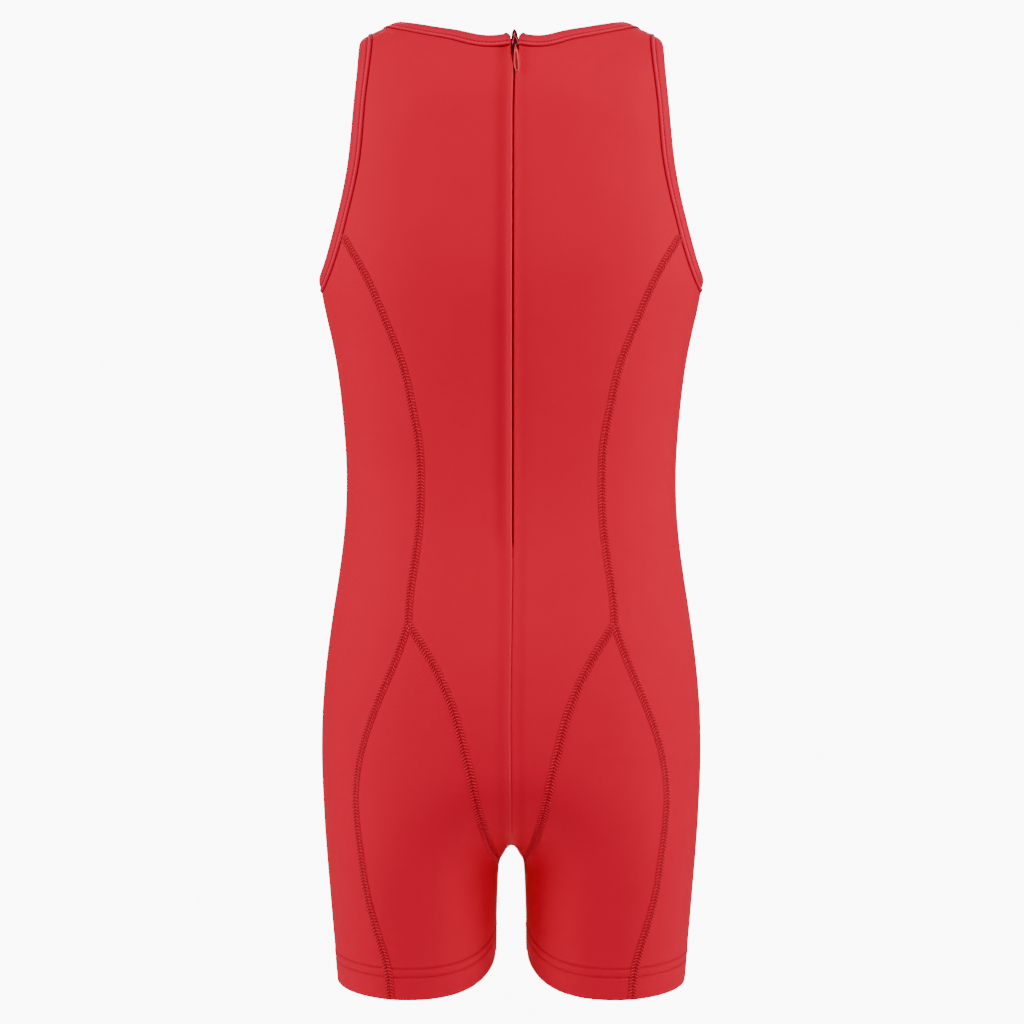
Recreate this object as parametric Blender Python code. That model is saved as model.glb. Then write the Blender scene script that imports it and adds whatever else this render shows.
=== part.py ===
# Gymnastics bodysuit: a sleeveless, short-legged stretch suit with a zip down the centre back,
# filled out as it is when worn. The back faces +Y, the wearer's left is +X and +Z is up.
# The origin lies midway between the shoulder straps, at the height where they are carried.
# Tables are in millimetres. Everything else is in metres.

import math

import bmesh
import bpy
import numpy as np
from mathutils import Matrix, Vector

MM = 0.001

# Cloth walls, measured outward from the form that fills the suit
WALL = 1.4 * MM
HEM_FOLD = 0.9 * MM
HEM_DEPTH = 20 * MM
HEM_STEP = 1.5 * MM
SEAM_GAP = 0.3 * MM
BINDING_WIDTH = 9.5 * MM
BINDING_INSIDE = 0.4 * MM
BINDING_OUTSIDE = 1.8 * MM
BINDING_FOLD_OUTSIDE = 1.3 * MM

# Cells along each stretch of seam, and across each panel
ARMHOLE_CELLS = 12
FRONT_NECK_CELLS = 8
PRINCESS_CELLS = 14
INNER_CELLS = 11
INSEAM_CELLS = 5
CROTCH_CELLS = 4
BACK_COLUMNS = 8
SIDE_COLUMNS = 7
LEG_COLUMNS = 8
FRONT_COLUMNS = 9
BINDING_CELLS = 3
OUTER_CELLS = INNER_CELLS + INSEAM_CELLS

# How finely lines are worked out, and from where they start inside the form
LINE_POINTS = 700
HALF_LINE = LINE_POINTS // 2
CENTRE_HIGH_POINTS = 300
CENTRE_LOW_POINTS = 200
HEM_POINTS_PER_DEGREE = 2
SETTLING_ROUNDS = 25
HALVINGS = 45
FORM_REACH = 160 * MM
LEG_MIDDLE = 60 * MM
SUIT_MIDDLE = np.array([0, 0, -300 * MM])
BELOW_SHOULDERS = -30 * MM

# How far down a panel its top edge still shapes the rows, and how far up its lower edge does
PANEL_TOP_REACH = 80 * MM
PANEL_BOTTOM_REACH = 70 * MM
BACK_TOP_REACH = 90 * MM
BACK_BOTTOM_REACH = 30 * MM
SIDE_TOP_REACH = 60 * MM
FRONT_TOP_REACH = 20 * MM

# Zip
ZIP_TAPE_BESIDE = 0.5 * MM
ZIP_TAPE_TOP = -13 * MM
ZIP_TAPE_BEND = -24.5 * MM
ZIP_TAPE_STRAIGHT = -33.5 * MM
ZIP_TAPE_END = -352 * MM
ZIP_TAPE_EDGE = 12 * MM
ZIP_TAPE_DEEP = (-1.7 * MM, -0.8 * MM)
ZIP_TAPE_CELLS = 22
SLIDER_HEIGHT = -17.6 * MM
SLIDER_TALL = 7.6 * MM
SLIDER_WIDE = 3.6 * MM
CROWN_DEEP = 5.2 * MM
CROWN_OUT = 0.9 * MM
PLATE_WIDE = 6.8 * MM
PLATE_THICK = 1.6 * MM
PLATE_BEHIND_TAPE = 0.5 * MM
CHEEK_WIDE = 0.55 * MM
CHEEK_TALL = 2.0 * MM
CHEEK_BEYOND_PIN = 0.4 * MM
PIN_RADIUS = 0.35 * MM
PIN_OUT = 3.5 * MM
PIN_DOWN = 3.0 * MM
EYE_RADIUS = 1.0 * MM
EYE_HOLE_RADIUS = 0.42 * MM
EYE_WIDE = 1.7 * MM
TAB_LENGTH = 18.5 * MM
TAB_NECK_HALF_WIDTH = 0.75 * MM
TAB_SWELL = 1.55 * MM
TAB_THICK = 1.0 * MM
TAB_REST_OUT = 2.3 * MM
TAB_REST_AT = 0.86

# The general figure that the suit is cut for
TORSO = (
    # height, half width, back depth, front depth
    (40, 117, 52, 46),
    (-20, 118, 70, 60),
    (-70, 119.5, 79, 70),
    (-120, 123.5, 84, 79),
    (-163, 127.5, 85.5, 83),
    (-206, 119.5, 81, 82),
    (-255, 112.3, 74.5, 78.5),
    (-300, 109.6, 71.5, 76.5),
    (-345, 112.2, 75, 77.5),
    (-395, 119.4, 84.5, 80.5),
    (-440, 124.6, 91, 82.5),
    (-480, 126.2, 92, 81),
    (-520, 124.8, 88, 77),
    (-560, 122, 80, 72),
    (-600, 118.6, 70, 66),
)
LEG = (
    # height, inner edge, outer edge, back depth, front depth
    (-440, 5, 124.6, 84, 72),
    (-520, 7, 124.8, 79, 70),
    (-560, 10.2, 122, 73, 67),
    (-600, 11.7, 118.6, 66, 63),
    (-640, 12.6, 115, 60.5, 59),
    (-680, 13, 112, 58, 57),
)
RIDGE = (
    # distance from the centre, height of the shoulder line
    (0, 22),
    (40, 17),
    (77, 6),
    (86, 2.4),
    (95, -2),
    (104, -10.5),
    (115, -25),
    (130, -50),
)
SHOULDER_ROLL = 75 * MM
ROUNDNESS = 2.3
LEG_ROUNDNESS = 2.15
LEGS_START = -490 * MM
LEGS_APART = -560 * MM
CROTCH_SOFTNESS = 20 * MM
TORSO_REACH = 80 * MM
LEG_REACH = 60 * MM

# Seams and edges as they show from straight behind, or from in front where the name says front
PRINCESS_SEAM = (
    # height, distance from the centre
    (-137, 111),
    (-165, 95.7),
    (-203, 79),
    (-227, 70),
    (-254, 64),
    (-276, 60),
    (-300, 58.6),
    (-322, 59),
    (-345, 61),
    (-384, 66),
    (-395, 66.4),
)
OUTER_SEAM = (
    (-395, 66.4),
    (-417, 74),
    (-437, 82.4),
    (-456, 90),
    (-476, 96.4),
    (-494, 99.8),
    (-509, 100.7),
    (-528, 99.5),
    (-550, 96.6),
    (-569, 93.8),
    (-589, 89),
    (-605, 84.3),
    (-622, 80),
)
INNER_SEAM = (
    (-395, 66.4),
    (-408, 57.7),
    (-422, 49.3),
    (-437, 42),
    (-456, 35),
    (-474, 30.3),
    (-492, 26),
    (-505, 23.5),
    (-528, 18.2),
    (-541, 14.6),
    (-551, 10.8),
)
FRONT_SIDE_SEAM = (
    (-140, 114),
    (-165, 108),
    (-205, 99),
    (-255, 93),
    (-300, 91),
    (-350, 94),
    (-400, 102),
    (-450, 108),
    (-500, 109),
    (-560, 104),
    (-610, 97),
)
ARMHOLE_BACK = (
    (-24, 101),
    (-51, 102.4),
    (-77, 105),
    (-102, 109),
    (-128, 115.5),
    (-147, 121.6),
    (-157, 125),
)
ARMHOLE_FRONT = (
    (-24, 99),
    (-51, 98.5),
    (-77, 100),
    (-102, 105),
    (-128, 113),
    (-147, 120.4),
    (-157, 124.8),
)
ARMHOLE_TOP = 104 * MM
ARMHOLE_BOTTOM = -163 * MM
NECK_BACK = (
    (-8.8, 6),
    (-9.8, 16),
    (-5.8, 33),
    (-2, 48),
    (0.6, 57),
    (3.4, 66),
)
NECK_FRONT = (
    (-14, 71),
    (-31, 60),
    (-44, 41),
    (-50, 21),
    (-52, 0),
)
NECK_TOP = 77 * MM
HEM_HEIGHT = (
    # angle round the leg from its outer side, height
    (0, -634.5),
    (45, -638.5),
    (90, -640.8),
    (125, -636),
    (150, -627.5),
    (180, -617),
)
OUTER_SEAM_HEM_ANGLE = 76
FRONT_SEAM_HEM_ANGLE = -50
INSEAM_FORWARD = 4 * MM
INSEAM_TOP = -562 * MM
CROTCH_SEAM_ANGLE = 118
CENTRE_GAP = (
    # height, half the gap between the two back panels
    (-600, 0.15),
    (-346, 0.15),
    (-342, 0.4),
    (-33, 0.4),
    (-24, 2.2),
    (0, 2.2),
)

RED = (0.72, 0.025, 0.04, 1)
DEEP_RED = (0.55, 0.015, 0.025, 1)
PAINTED_RED = (0.42, 0.02, 0.03, 1)


def curve_through(knots, values):
    """A smooth curve through values at rising knots, as a function."""
    steps = np.diff(knots)
    system = np.eye(len(knots))
    right = np.zeros(len(knots))
    for i in range(1, len(knots) - 1):
        system[i, i - 1 : i + 2] = steps[i - 1], 2 * (steps[i - 1] + steps[i]), steps[i]
        after = (values[i + 1] - values[i]) / steps[i]
        before = (values[i] - values[i - 1]) / steps[i - 1]
        right[i] = 6 * (after - before)
    bend = np.linalg.solve(system, right)

    def at(where):
        where = np.clip(where, knots[0], knots[-1])
        i = np.clip(np.searchsorted(knots, where) - 1, 0, len(steps) - 1)
        after = (where - knots[i]) / steps[i]
        before = 1 - after
        bow = (before**3 - before) * bend[i] + (after**3 - after) * bend[i + 1]
        return before * values[i] + after * values[i + 1] + bow * steps[i] ** 2 / 6

    return at


def columns(table):
    """Each column of a table as a smooth function of its first, in metres."""
    rows = np.array(sorted(table), float) * MM
    return [curve_through(rows[:, 0], column) for column in rows.T[1:]]


torso_half, torso_back, torso_front = columns(TORSO)
leg_inner, leg_outer, leg_back, leg_front = columns(LEG)
(ridge,) = columns(RIDGE)


def form(points):
    """Below 0 inside the filled-out form, 0 on it, and near to the distance outside it."""
    x, y, z = np.abs(points[..., 0]), points[..., 1], points[..., 2]
    depth = np.where(y > 0, torso_back(z), torso_front(z))
    across = (x / torso_half(z)) ** ROUNDNESS
    rise = np.clip((z - ridge(x)) / SHOULDER_ROLL + 1, 0, None)
    roll = 1 - rise**2
    roll = np.sign(roll) * np.abs(roll) ** (ROUNDNESS / 2)
    total = 1 - (1 - across) * roll + (np.abs(y) / depth) ** ROUNDNESS
    torso = (np.clip(total, 0, None) ** (1 / ROUNDNESS) - 1) * TORSO_REACH
    share = np.clip((LEGS_START - z) / (LEGS_START - LEGS_APART), 0, 1)
    share = share * share * (3 - 2 * share)
    inner, outer = leg_inner(z), leg_outer(z)
    middle, half = (inner + outer) / 2, (outer - inner) / 2
    soft = CROTCH_SOFTNESS * (1 - share) * np.clip(1 - x / middle, 0, 1) ** 2
    depth = np.where(y > 0, leg_back(z), leg_front(z))
    aside = (np.abs(np.hypot(x, soft) - middle) / half) ** LEG_ROUNDNESS
    leg = ((aside + (np.abs(y) / depth) ** LEG_ROUNDNESS) ** (1 / LEG_ROUNDNESS) - 1) * LEG_REACH
    return (1 - share) * torso + share * leg


def slope(points):
    """The direction and rate in which the form's value grows."""
    step = 0.01 * MM
    rates = [form(points + axis) - form(points - axis) for axis in np.eye(3) * step]
    return np.stack(rates, axis=-1) / (2 * step)


def unit(vectors):
    return vectors / np.maximum(np.linalg.norm(vectors, axis=-1, keepdims=True), 1e-12)


def settled(points):
    """The points moved onto the form, each along the form's own slope."""
    points = np.array(points, float)
    for _ in range(SETTLING_ROUNDS):
        rate = slope(points)
        size = np.maximum((rate**2).sum(-1, keepdims=True), 1e-6)
        move = -form(points)[..., None] * rate / size
        length = np.maximum(np.linalg.norm(move, axis=-1, keepdims=True), 1e-12)
        points += move * np.minimum(1, 4 * MM / length)
    return points


def shot(origin, direction, reach=FORM_REACH):
    """Where straight lines from inside the form leave it, within their reach."""
    origin, direction = np.broadcast_arrays(np.array(origin, float), unit(np.array(direction, float)))
    near, far = np.zeros(origin.shape[:-1]), np.full(origin.shape[:-1], reach)
    for _ in range(HALVINGS):
        middle = (near + far) / 2
        outside = form(origin + direction * middle[..., None]) > 0
        far, near = np.where(outside, middle, far), np.where(outside, near, middle)
    return origin + direction * near[..., None]


def seen_points(table, side):
    """Table rows of height and distance from the centre, put on the back (1) or the front (-1)."""
    rows = np.array(table, float) * MM
    origin = np.stack([rows[:, 1], 0 * rows[:, 0], rows[:, 0]], axis=-1)
    return shot(origin, (0, side, 0))


def along(curve):
    return np.concatenate([[0], np.cumsum(np.linalg.norm(np.diff(curve, axis=0), axis=1))])


def flowing(points, closed=False):
    """A smooth dense line on the form through a few points."""
    points = np.array(points, float)
    spare = 3 if closed else 0
    if closed:
        points = np.concatenate([points[-4:-1], points, points[1:4]])
    length = along(points)
    where = np.linspace(length[spare], length[-1 - spare], LINE_POINTS)
    line = np.stack([curve_through(length, column)(where) for column in points.T], axis=-1)
    return settled(line)


def evenly(line, cells):
    """The line cut into equal lengths."""
    length = along(line)
    where = np.linspace(0, length[-1], cells + 1)
    return np.stack([np.interp(where, length, column) for column in line.T], axis=-1)


def nearest(line, point):
    return int(np.argmin(((line - point) ** 2).sum(-1)))


def stretch(line, start, end):
    """The part of a line between the points nearest to start and end, in that order."""
    first, last = nearest(line, start), nearest(line, end)
    if first <= last:
        return line[first : last + 1]
    return line[last : first + 1][::-1]


def on_shoulder(line):
    """Where a line crosses the top of the shoulder."""
    return line[np.argmin(np.abs(line[:, 1]) + (line[:, 2] < BELOW_SHOULDERS))]


def joined(*lines):
    return np.concatenate([lines[0]] + [line[1:] for line in lines[1:]])


def to_hem(line, cells):
    """A seam cut evenly down to the hem, then at the hem's step and its edge."""
    length = along(line)
    end = length[-1]
    top = end - HEM_DEPTH - HEM_STEP
    where = np.append(np.linspace(0, top, cells - 1), [end - HEM_DEPTH, end])
    return np.stack([np.interp(where, length, column) for column in line.T], axis=-1)


def inset(edge, width, toward):
    """The line that runs beside an edge at a set width, on the side where toward lies."""
    sideways = unit(np.cross(slope(edge), np.gradient(edge, axis=0)))
    side = np.sign(((toward - edge) * sideways).sum(-1).mean())
    line = edge
    for _ in range(4):
        line = settled(line + side * sideways * width / 4)
    return line


def hem_line():
    """The lower edge of the left leg, all round from the inner side."""
    angles = np.radians(np.linspace(-180, 180, 360 * HEM_POINTS_PER_DEGREE + 1))
    table = np.array(HEM_HEIGHT, float)
    height = curve_through(table[:, 0], table[:, 1] * MM)(np.degrees(np.abs(angles)))
    middle = (leg_inner(height) + leg_outer(height)) / 2
    origin = np.stack([middle, 0 * height, height], axis=-1)
    aim = np.stack([np.cos(angles), np.sin(angles), 0 * angles], axis=-1)
    return shot(origin, aim, reach=middle.min())


def hem_point(hem, angle):
    return hem[int(round((angle + 180) * HEM_POINTS_PER_DEGREE))]


def centre_line(side, top):
    """The middle of the back or the front, from a height down and under to the crotch seam."""
    heights = np.linspace(top, LEGS_START, CENTRE_HIGH_POINTS)
    last = CROTCH_SEAM_ANGLE if side > 0 else 180 - CROTCH_SEAM_ANGLE
    turn = np.radians(np.linspace(0, last, CENTRE_LOW_POINTS))[1:]
    x = half_gap(heights) if side > 0 else 0 * heights
    upper = shot(np.stack([x, 0 * x, heights], axis=-1), (0, side, 0))
    low_x = SEAM_GAP / 2 if side > 0 else 0
    aim = np.stack([0 * turn, side * np.cos(turn), -np.sin(turn)], axis=-1)
    lower = shot((low_x, 0, LEGS_START), aim)
    return np.concatenate([upper, lower])


def half_gap(heights):
    rows = np.array(CENTRE_GAP, float) * MM
    return np.interp(heights, rows[:, 0], rows[:, 1])


def patch(
    left,
    right,
    columns_across,
    top=None,
    bottom=None,
    top_reach=PANEL_TOP_REACH,
    bottom_reach=PANEL_BOTTOM_REACH,
):
    """A grid of points on the form between two seams. Its end rows follow top and bottom."""
    share = np.linspace(0, 1, columns_across + 1)[None, :, None]
    grid = left[:, None] * (1 - share) + right[:, None] * share
    for _ in range(4):
        grid[:, 1:-1] = settled(grid[:, 1:-1])
        grid = np.stack([evenly(row, columns_across) for row in grid])
    down = along((left + right) / 2)
    for line, row, distance, reach in (
        (top, 0, down, top_reach),
        (bottom, -1, down[-1] - down, bottom_reach),
    ):
        if line is not None:
            pull = np.exp(-((distance / reach) ** 2))[:, None, None]
            grid = grid + pull * (line - grid[row])
    grid = settled(grid)
    grid[:, 0], grid[:, -1] = left, right
    if top is not None:
        grid[0] = top
    if bottom is not None:
        grid[-1] = bottom
    return grid


def trimmed(grid, sides, amount=SEAM_GAP / 2, rows=slice(None)):
    """The grid with its named sides moved inward by half a seam gap, over the rows given."""
    out = grid.copy()
    for side in sides:
        edge, inner = {
            "left": (np.s_[rows, 0], np.s_[rows, 1]),
            "right": (np.s_[rows, -1], np.s_[rows, -2]),
            "top": (np.s_[0], np.s_[1]),
            "bottom": (np.s_[-1], np.s_[-2]),
        }[side]
        line = grid[edge]
        sideways = unit(np.cross(slope(line), np.gradient(line, axis=0)))
        turn = np.sign(((grid[inner] - line) * sideways).sum(-1, keepdims=True))
        out[edge] = out[edge] + turn * sideways * amount
    return out


def collection_named(name):
    group = bpy.data.collections.new(name)
    bpy.context.scene.collection.children.link(group)
    return group


def material_named(name, colour, roughness, metallic=0.0):
    material = bpy.data.materials.new(name)
    material.use_nodes = True
    shader = material.node_tree.nodes["Principled BSDF"]
    shader.inputs["Base Color"].default_value = colour
    shader.inputs["Roughness"].default_value = roughness
    shader.inputs["Metallic"].default_value = metallic
    return material


def object_from(bm, name, group, material):
    mesh = bpy.data.meshes.new(name)
    bm.to_mesh(mesh)
    bm.free()
    mesh.materials.append(material)
    thing = bpy.data.objects.new(name, mesh)
    group.objects.link(thing)
    return thing


def add_grid(bm, grid):
    """Faces between the points of a grid, facing away from the form."""
    verts = [[bm.verts.new(point) for point in row] for row in grid]
    faces = []
    for upper, lower in zip(verts, verts[1:]):
        for i in range(len(upper) - 1):
            faces.append(bm.faces.new((upper[i], lower[i], lower[i + 1], upper[i + 1])))
    bm.normal_update()
    middle = faces[len(faces) // 2]
    away = slope(np.array(middle.calc_center_median())[None])[0]
    if middle.normal.dot(Vector(away)) < 0:
        bmesh.ops.reverse_faces(bm, faces=faces)


def cloth(name, grids, inside, outside, group, material):
    """A closed cloth wall over open grids. Its faces follow the form's slope, so seams stay parallel."""
    bm = bmesh.new()
    for grid in grids:
        add_grid(bm, grid)
    bmesh.ops.remove_doubles(bm, verts=bm.verts, dist=0.01 * MM)
    verts, outer_faces = list(bm.verts), list(bm.faces)
    rim = [edge for edge in bm.edges if edge.is_boundary]
    places = np.array([vert.co for vert in verts], float)
    away = unit(slope(places))
    low, high = places + away * inside(places)[:, None], places + away * outside(places)[:, None]
    twin = {vert: bm.verts.new(point) for vert, point in zip(verts, low)}
    for vert, point in zip(verts, high):
        vert.co = point
    for edge in rim:
        loop = edge.link_loops[0]
        start, end = loop.vert, loop.link_loop_next.vert
        bm.faces.new((end, start, twin[start], twin[end]))
    for face in outer_faces:
        bm.faces.new([twin[vert] for vert in reversed(face.verts)])
    for face in bm.faces:
        face.smooth = True
    thing = object_from(bm, name, group, material)
    thing.data.set_sharp_from_angle(angle=math.radians(50))
    return thing


def level(amount):
    return lambda places: np.full(len(places), amount)


def hem_inside(places):
    """How far the hem's folded layer lies inside the form at each place."""
    return np.where(hem_share(places) > 0.5, -HEM_FOLD, 0.0)


def hem_share(places):
    x = np.abs(places[:, 0])
    middle = (leg_inner(places[:, 2]) + leg_outer(places[:, 2])) / 2
    angle = np.degrees(np.arctan2(np.abs(places[:, 1]), x - middle))
    table = np.array(HEM_HEIGHT, float)
    edge = curve_through(table[:, 0], table[:, 1] * MM)(angle)
    return (places[:, 2] < edge + HEM_DEPTH + HEM_STEP / 2).astype(float)


def mirrored(grid):
    return grid * np.array([-1, 1, 1])


def binding_grid(seam, edge):
    """The band between a panel's edge and the folded edge of the opening."""
    share = np.linspace(0, 1, BINDING_CELLS + 1)[:, None, None]
    grid = seam[None] * (1 - share) + edge[None] * share
    grid[1:-1] = settled(grid[1:-1])
    return grid


def folded(edge_points):
    """The binding's outside: full over its width, and thinner at its folded edge."""

    def outside(places):
        near = np.array([((edge_points - place) ** 2).sum(-1).min() for place in places]) ** 0.5
        return np.where(near < 0.5 * MM, BINDING_FOLD_OUTSIDE, BINDING_OUTSIDE)

    return outside


def box(name, size, place, group, material):
    bpy.ops.mesh.primitive_cube_add(size=1, location=place)
    thing = bpy.context.object
    thing.name = name
    thing.scale = size
    bpy.ops.object.transform_apply(location=False, rotation=False, scale=True)
    return adopt(thing, group, material)


def pin(name, radius, length, place, group, material, sides=16):
    bpy.ops.mesh.primitive_cylinder_add(
        vertices=sides, radius=radius, depth=length, location=place, rotation=(0, math.pi / 2, 0)
    )
    thing = bpy.context.object
    thing.name = name
    return adopt(thing, group, material)


def adopt(thing, group, material):
    for other in list(thing.users_collection):
        other.objects.unlink(thing)
    group.objects.link(thing)
    thing.data.materials.append(material)
    return thing


def helper(thing):
    thing.hide_render = True
    thing.display_type = "WIRE"
    return thing


def boolean(thing, other, operation):
    step = thing.modifiers.new(operation.lower(), "BOOLEAN")
    step.operation = operation
    step.object = helper(other)


def make_slider(frame, group, cutters, material):
    """The zip slider: a crown through the opening, a plate behind the tapes, and a pin for the pull tab."""
    crown = box(
        "zip_slider",
        (SLIDER_WIDE, CROWN_DEEP, SLIDER_TALL),
        (0, WALL + CROWN_OUT - CROWN_DEEP / 2, 0),
        group,
        material,
    )
    plate = box(
        "slider_plate",
        (PLATE_WIDE, PLATE_THICK, SLIDER_TALL),
        (0, ZIP_TAPE_DEEP[0] - PLATE_BEHIND_TAPE - PLATE_THICK / 2, 0),
        cutters,
        material,
    )
    boolean(crown, plate, "UNION")
    parts = [crown, plate]
    cheek_top = PIN_OUT + PIN_RADIUS + CHEEK_BEYOND_PIN
    for side in (-1, 1):
        cheek = box(
            f"slider_cheek_{side}",
            (CHEEK_WIDE, cheek_top - WALL, CHEEK_TALL),
            (side * (SLIDER_WIDE - CHEEK_WIDE) / 2, (cheek_top + WALL) / 2, -PIN_DOWN),
            cutters,
            material,
        )
        boolean(crown, cheek, "UNION")
        parts.append(cheek)
    bar_long = SLIDER_WIDE - CHEEK_WIDE
    bar = pin("slider_pin", PIN_RADIUS, bar_long, (0, PIN_OUT, -PIN_DOWN), cutters, material)
    boolean(crown, bar, "UNION")
    parts.append(bar)
    for part in parts:
        part.parent = frame
    return crown


def tab_outline():
    """Half widths of the teardrop pull tab down its length."""
    share = np.linspace(0, 1, 15)
    swell = np.sin(np.pi * share**1.35) ** 0.8
    return share, TAB_NECK_HALF_WIDTH * (1 - share) ** 0.5 + TAB_SWELL * swell


def make_tab(hinge, group, cutters, material):
    """The pull tab: a flat teardrop that hangs from an eye round the slider's pin."""
    share, half = tab_outline()
    top = (EYE_HOLE_RADIUS + EYE_RADIUS) / 2
    heights = -top - share * (TAB_LENGTH - top)
    bm = bmesh.new()
    right = [(w, -TAB_THICK / 2, z) for w, z in zip(half, heights)]
    left = [(-w, -TAB_THICK / 2, z) for w, z in zip(half[:-1], heights[:-1])][::-1]
    face = bm.faces.new([bm.verts.new(point) for point in right + left])
    pushed = bmesh.ops.extrude_face_region(bm, geom=[face])
    moved = [item for item in pushed["geom"] if isinstance(item, bmesh.types.BMVert)]
    bmesh.ops.translate(bm, verts=moved, vec=(0, TAB_THICK, 0))
    bmesh.ops.recalc_face_normals(bm, faces=bm.faces)
    tab = object_from(bm, "pull_tab", group, material)
    eye = pin("tab_eye", EYE_RADIUS, EYE_WIDE, (0, 0, 0), cutters, material, 20)
    hole = pin("tab_eye_hole", EYE_HOLE_RADIUS, EYE_WIDE * 2, (0, 0, 0), cutters, material, 20)
    boolean(tab, eye, "UNION")
    boolean(tab, hole, "DIFFERENCE")
    for part in (tab, eye, hole):
        part.parent = hinge
    return tab


def empty_at(name, matrix, group, parent=None):
    thing = bpy.data.objects.new(name, None)
    group.objects.link(thing)
    thing.empty_display_size = 5 * MM
    thing.parent = parent
    thing.matrix_local = matrix
    return thing


def surface_frame(place, away):
    """A frame on the centre back: X across, Y out of the cloth, Z up along it."""
    across = Vector((1, 0, 0))
    up = across.cross(away).normalized()
    turn = Matrix((across, away, up)).transposed().to_4x4()
    return Matrix.Translation(place) @ turn


def make_zip(group, cutters, cloth_material, metal):
    """Tapes inside the opening, the slider in it, and the pull tab on the slider."""
    heights = np.append(
        [ZIP_TAPE_TOP, ZIP_TAPE_BEND], np.linspace(ZIP_TAPE_STRAIGHT, ZIP_TAPE_END, ZIP_TAPE_CELLS)
    )
    inner = half_gap(heights) + ZIP_TAPE_BESIDE
    for side, sign in (("left", 1), ("right", -1)):
        lines = []
        for share in (0, 0.5, 1):
            x = sign * (inner * (1 - share) + ZIP_TAPE_EDGE * share)
            lines.append(shot(np.stack([x, 0 * x, heights], axis=-1), (0, 1, 0)))
        grid = np.stack(lines, axis=1)
        deep, shallow = ZIP_TAPE_DEEP
        cloth(f"zip_tape_{side}", [grid], level(deep), level(shallow), group, cloth_material)
    seat = shot((0, 0, SLIDER_HEIGHT), (0, 1, 0))
    away = Vector(unit(slope(seat[None]))[0])
    frame = empty_at("slider_frame", surface_frame(Vector(seat), away), group)
    make_slider(frame, group, cutters, metal)
    pivot = Vector(seat) + frame.matrix_local.to_3x3() @ Vector((0, PIN_OUT, -PIN_DOWN))
    tip = shot((0, 0, pivot.z - TAB_LENGTH * TAB_REST_AT), (0, 1, 0))
    tip_away = unit(slope(tip[None]))[0]
    down = (Vector(tip + tip_away * TAB_REST_OUT) - pivot).normalized()
    hinge = empty_at("tab_hinge", surface_frame(pivot, down.cross(Vector((1, 0, 0))) * -1), group)
    make_tab(hinge, group, cutters, metal)


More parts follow.
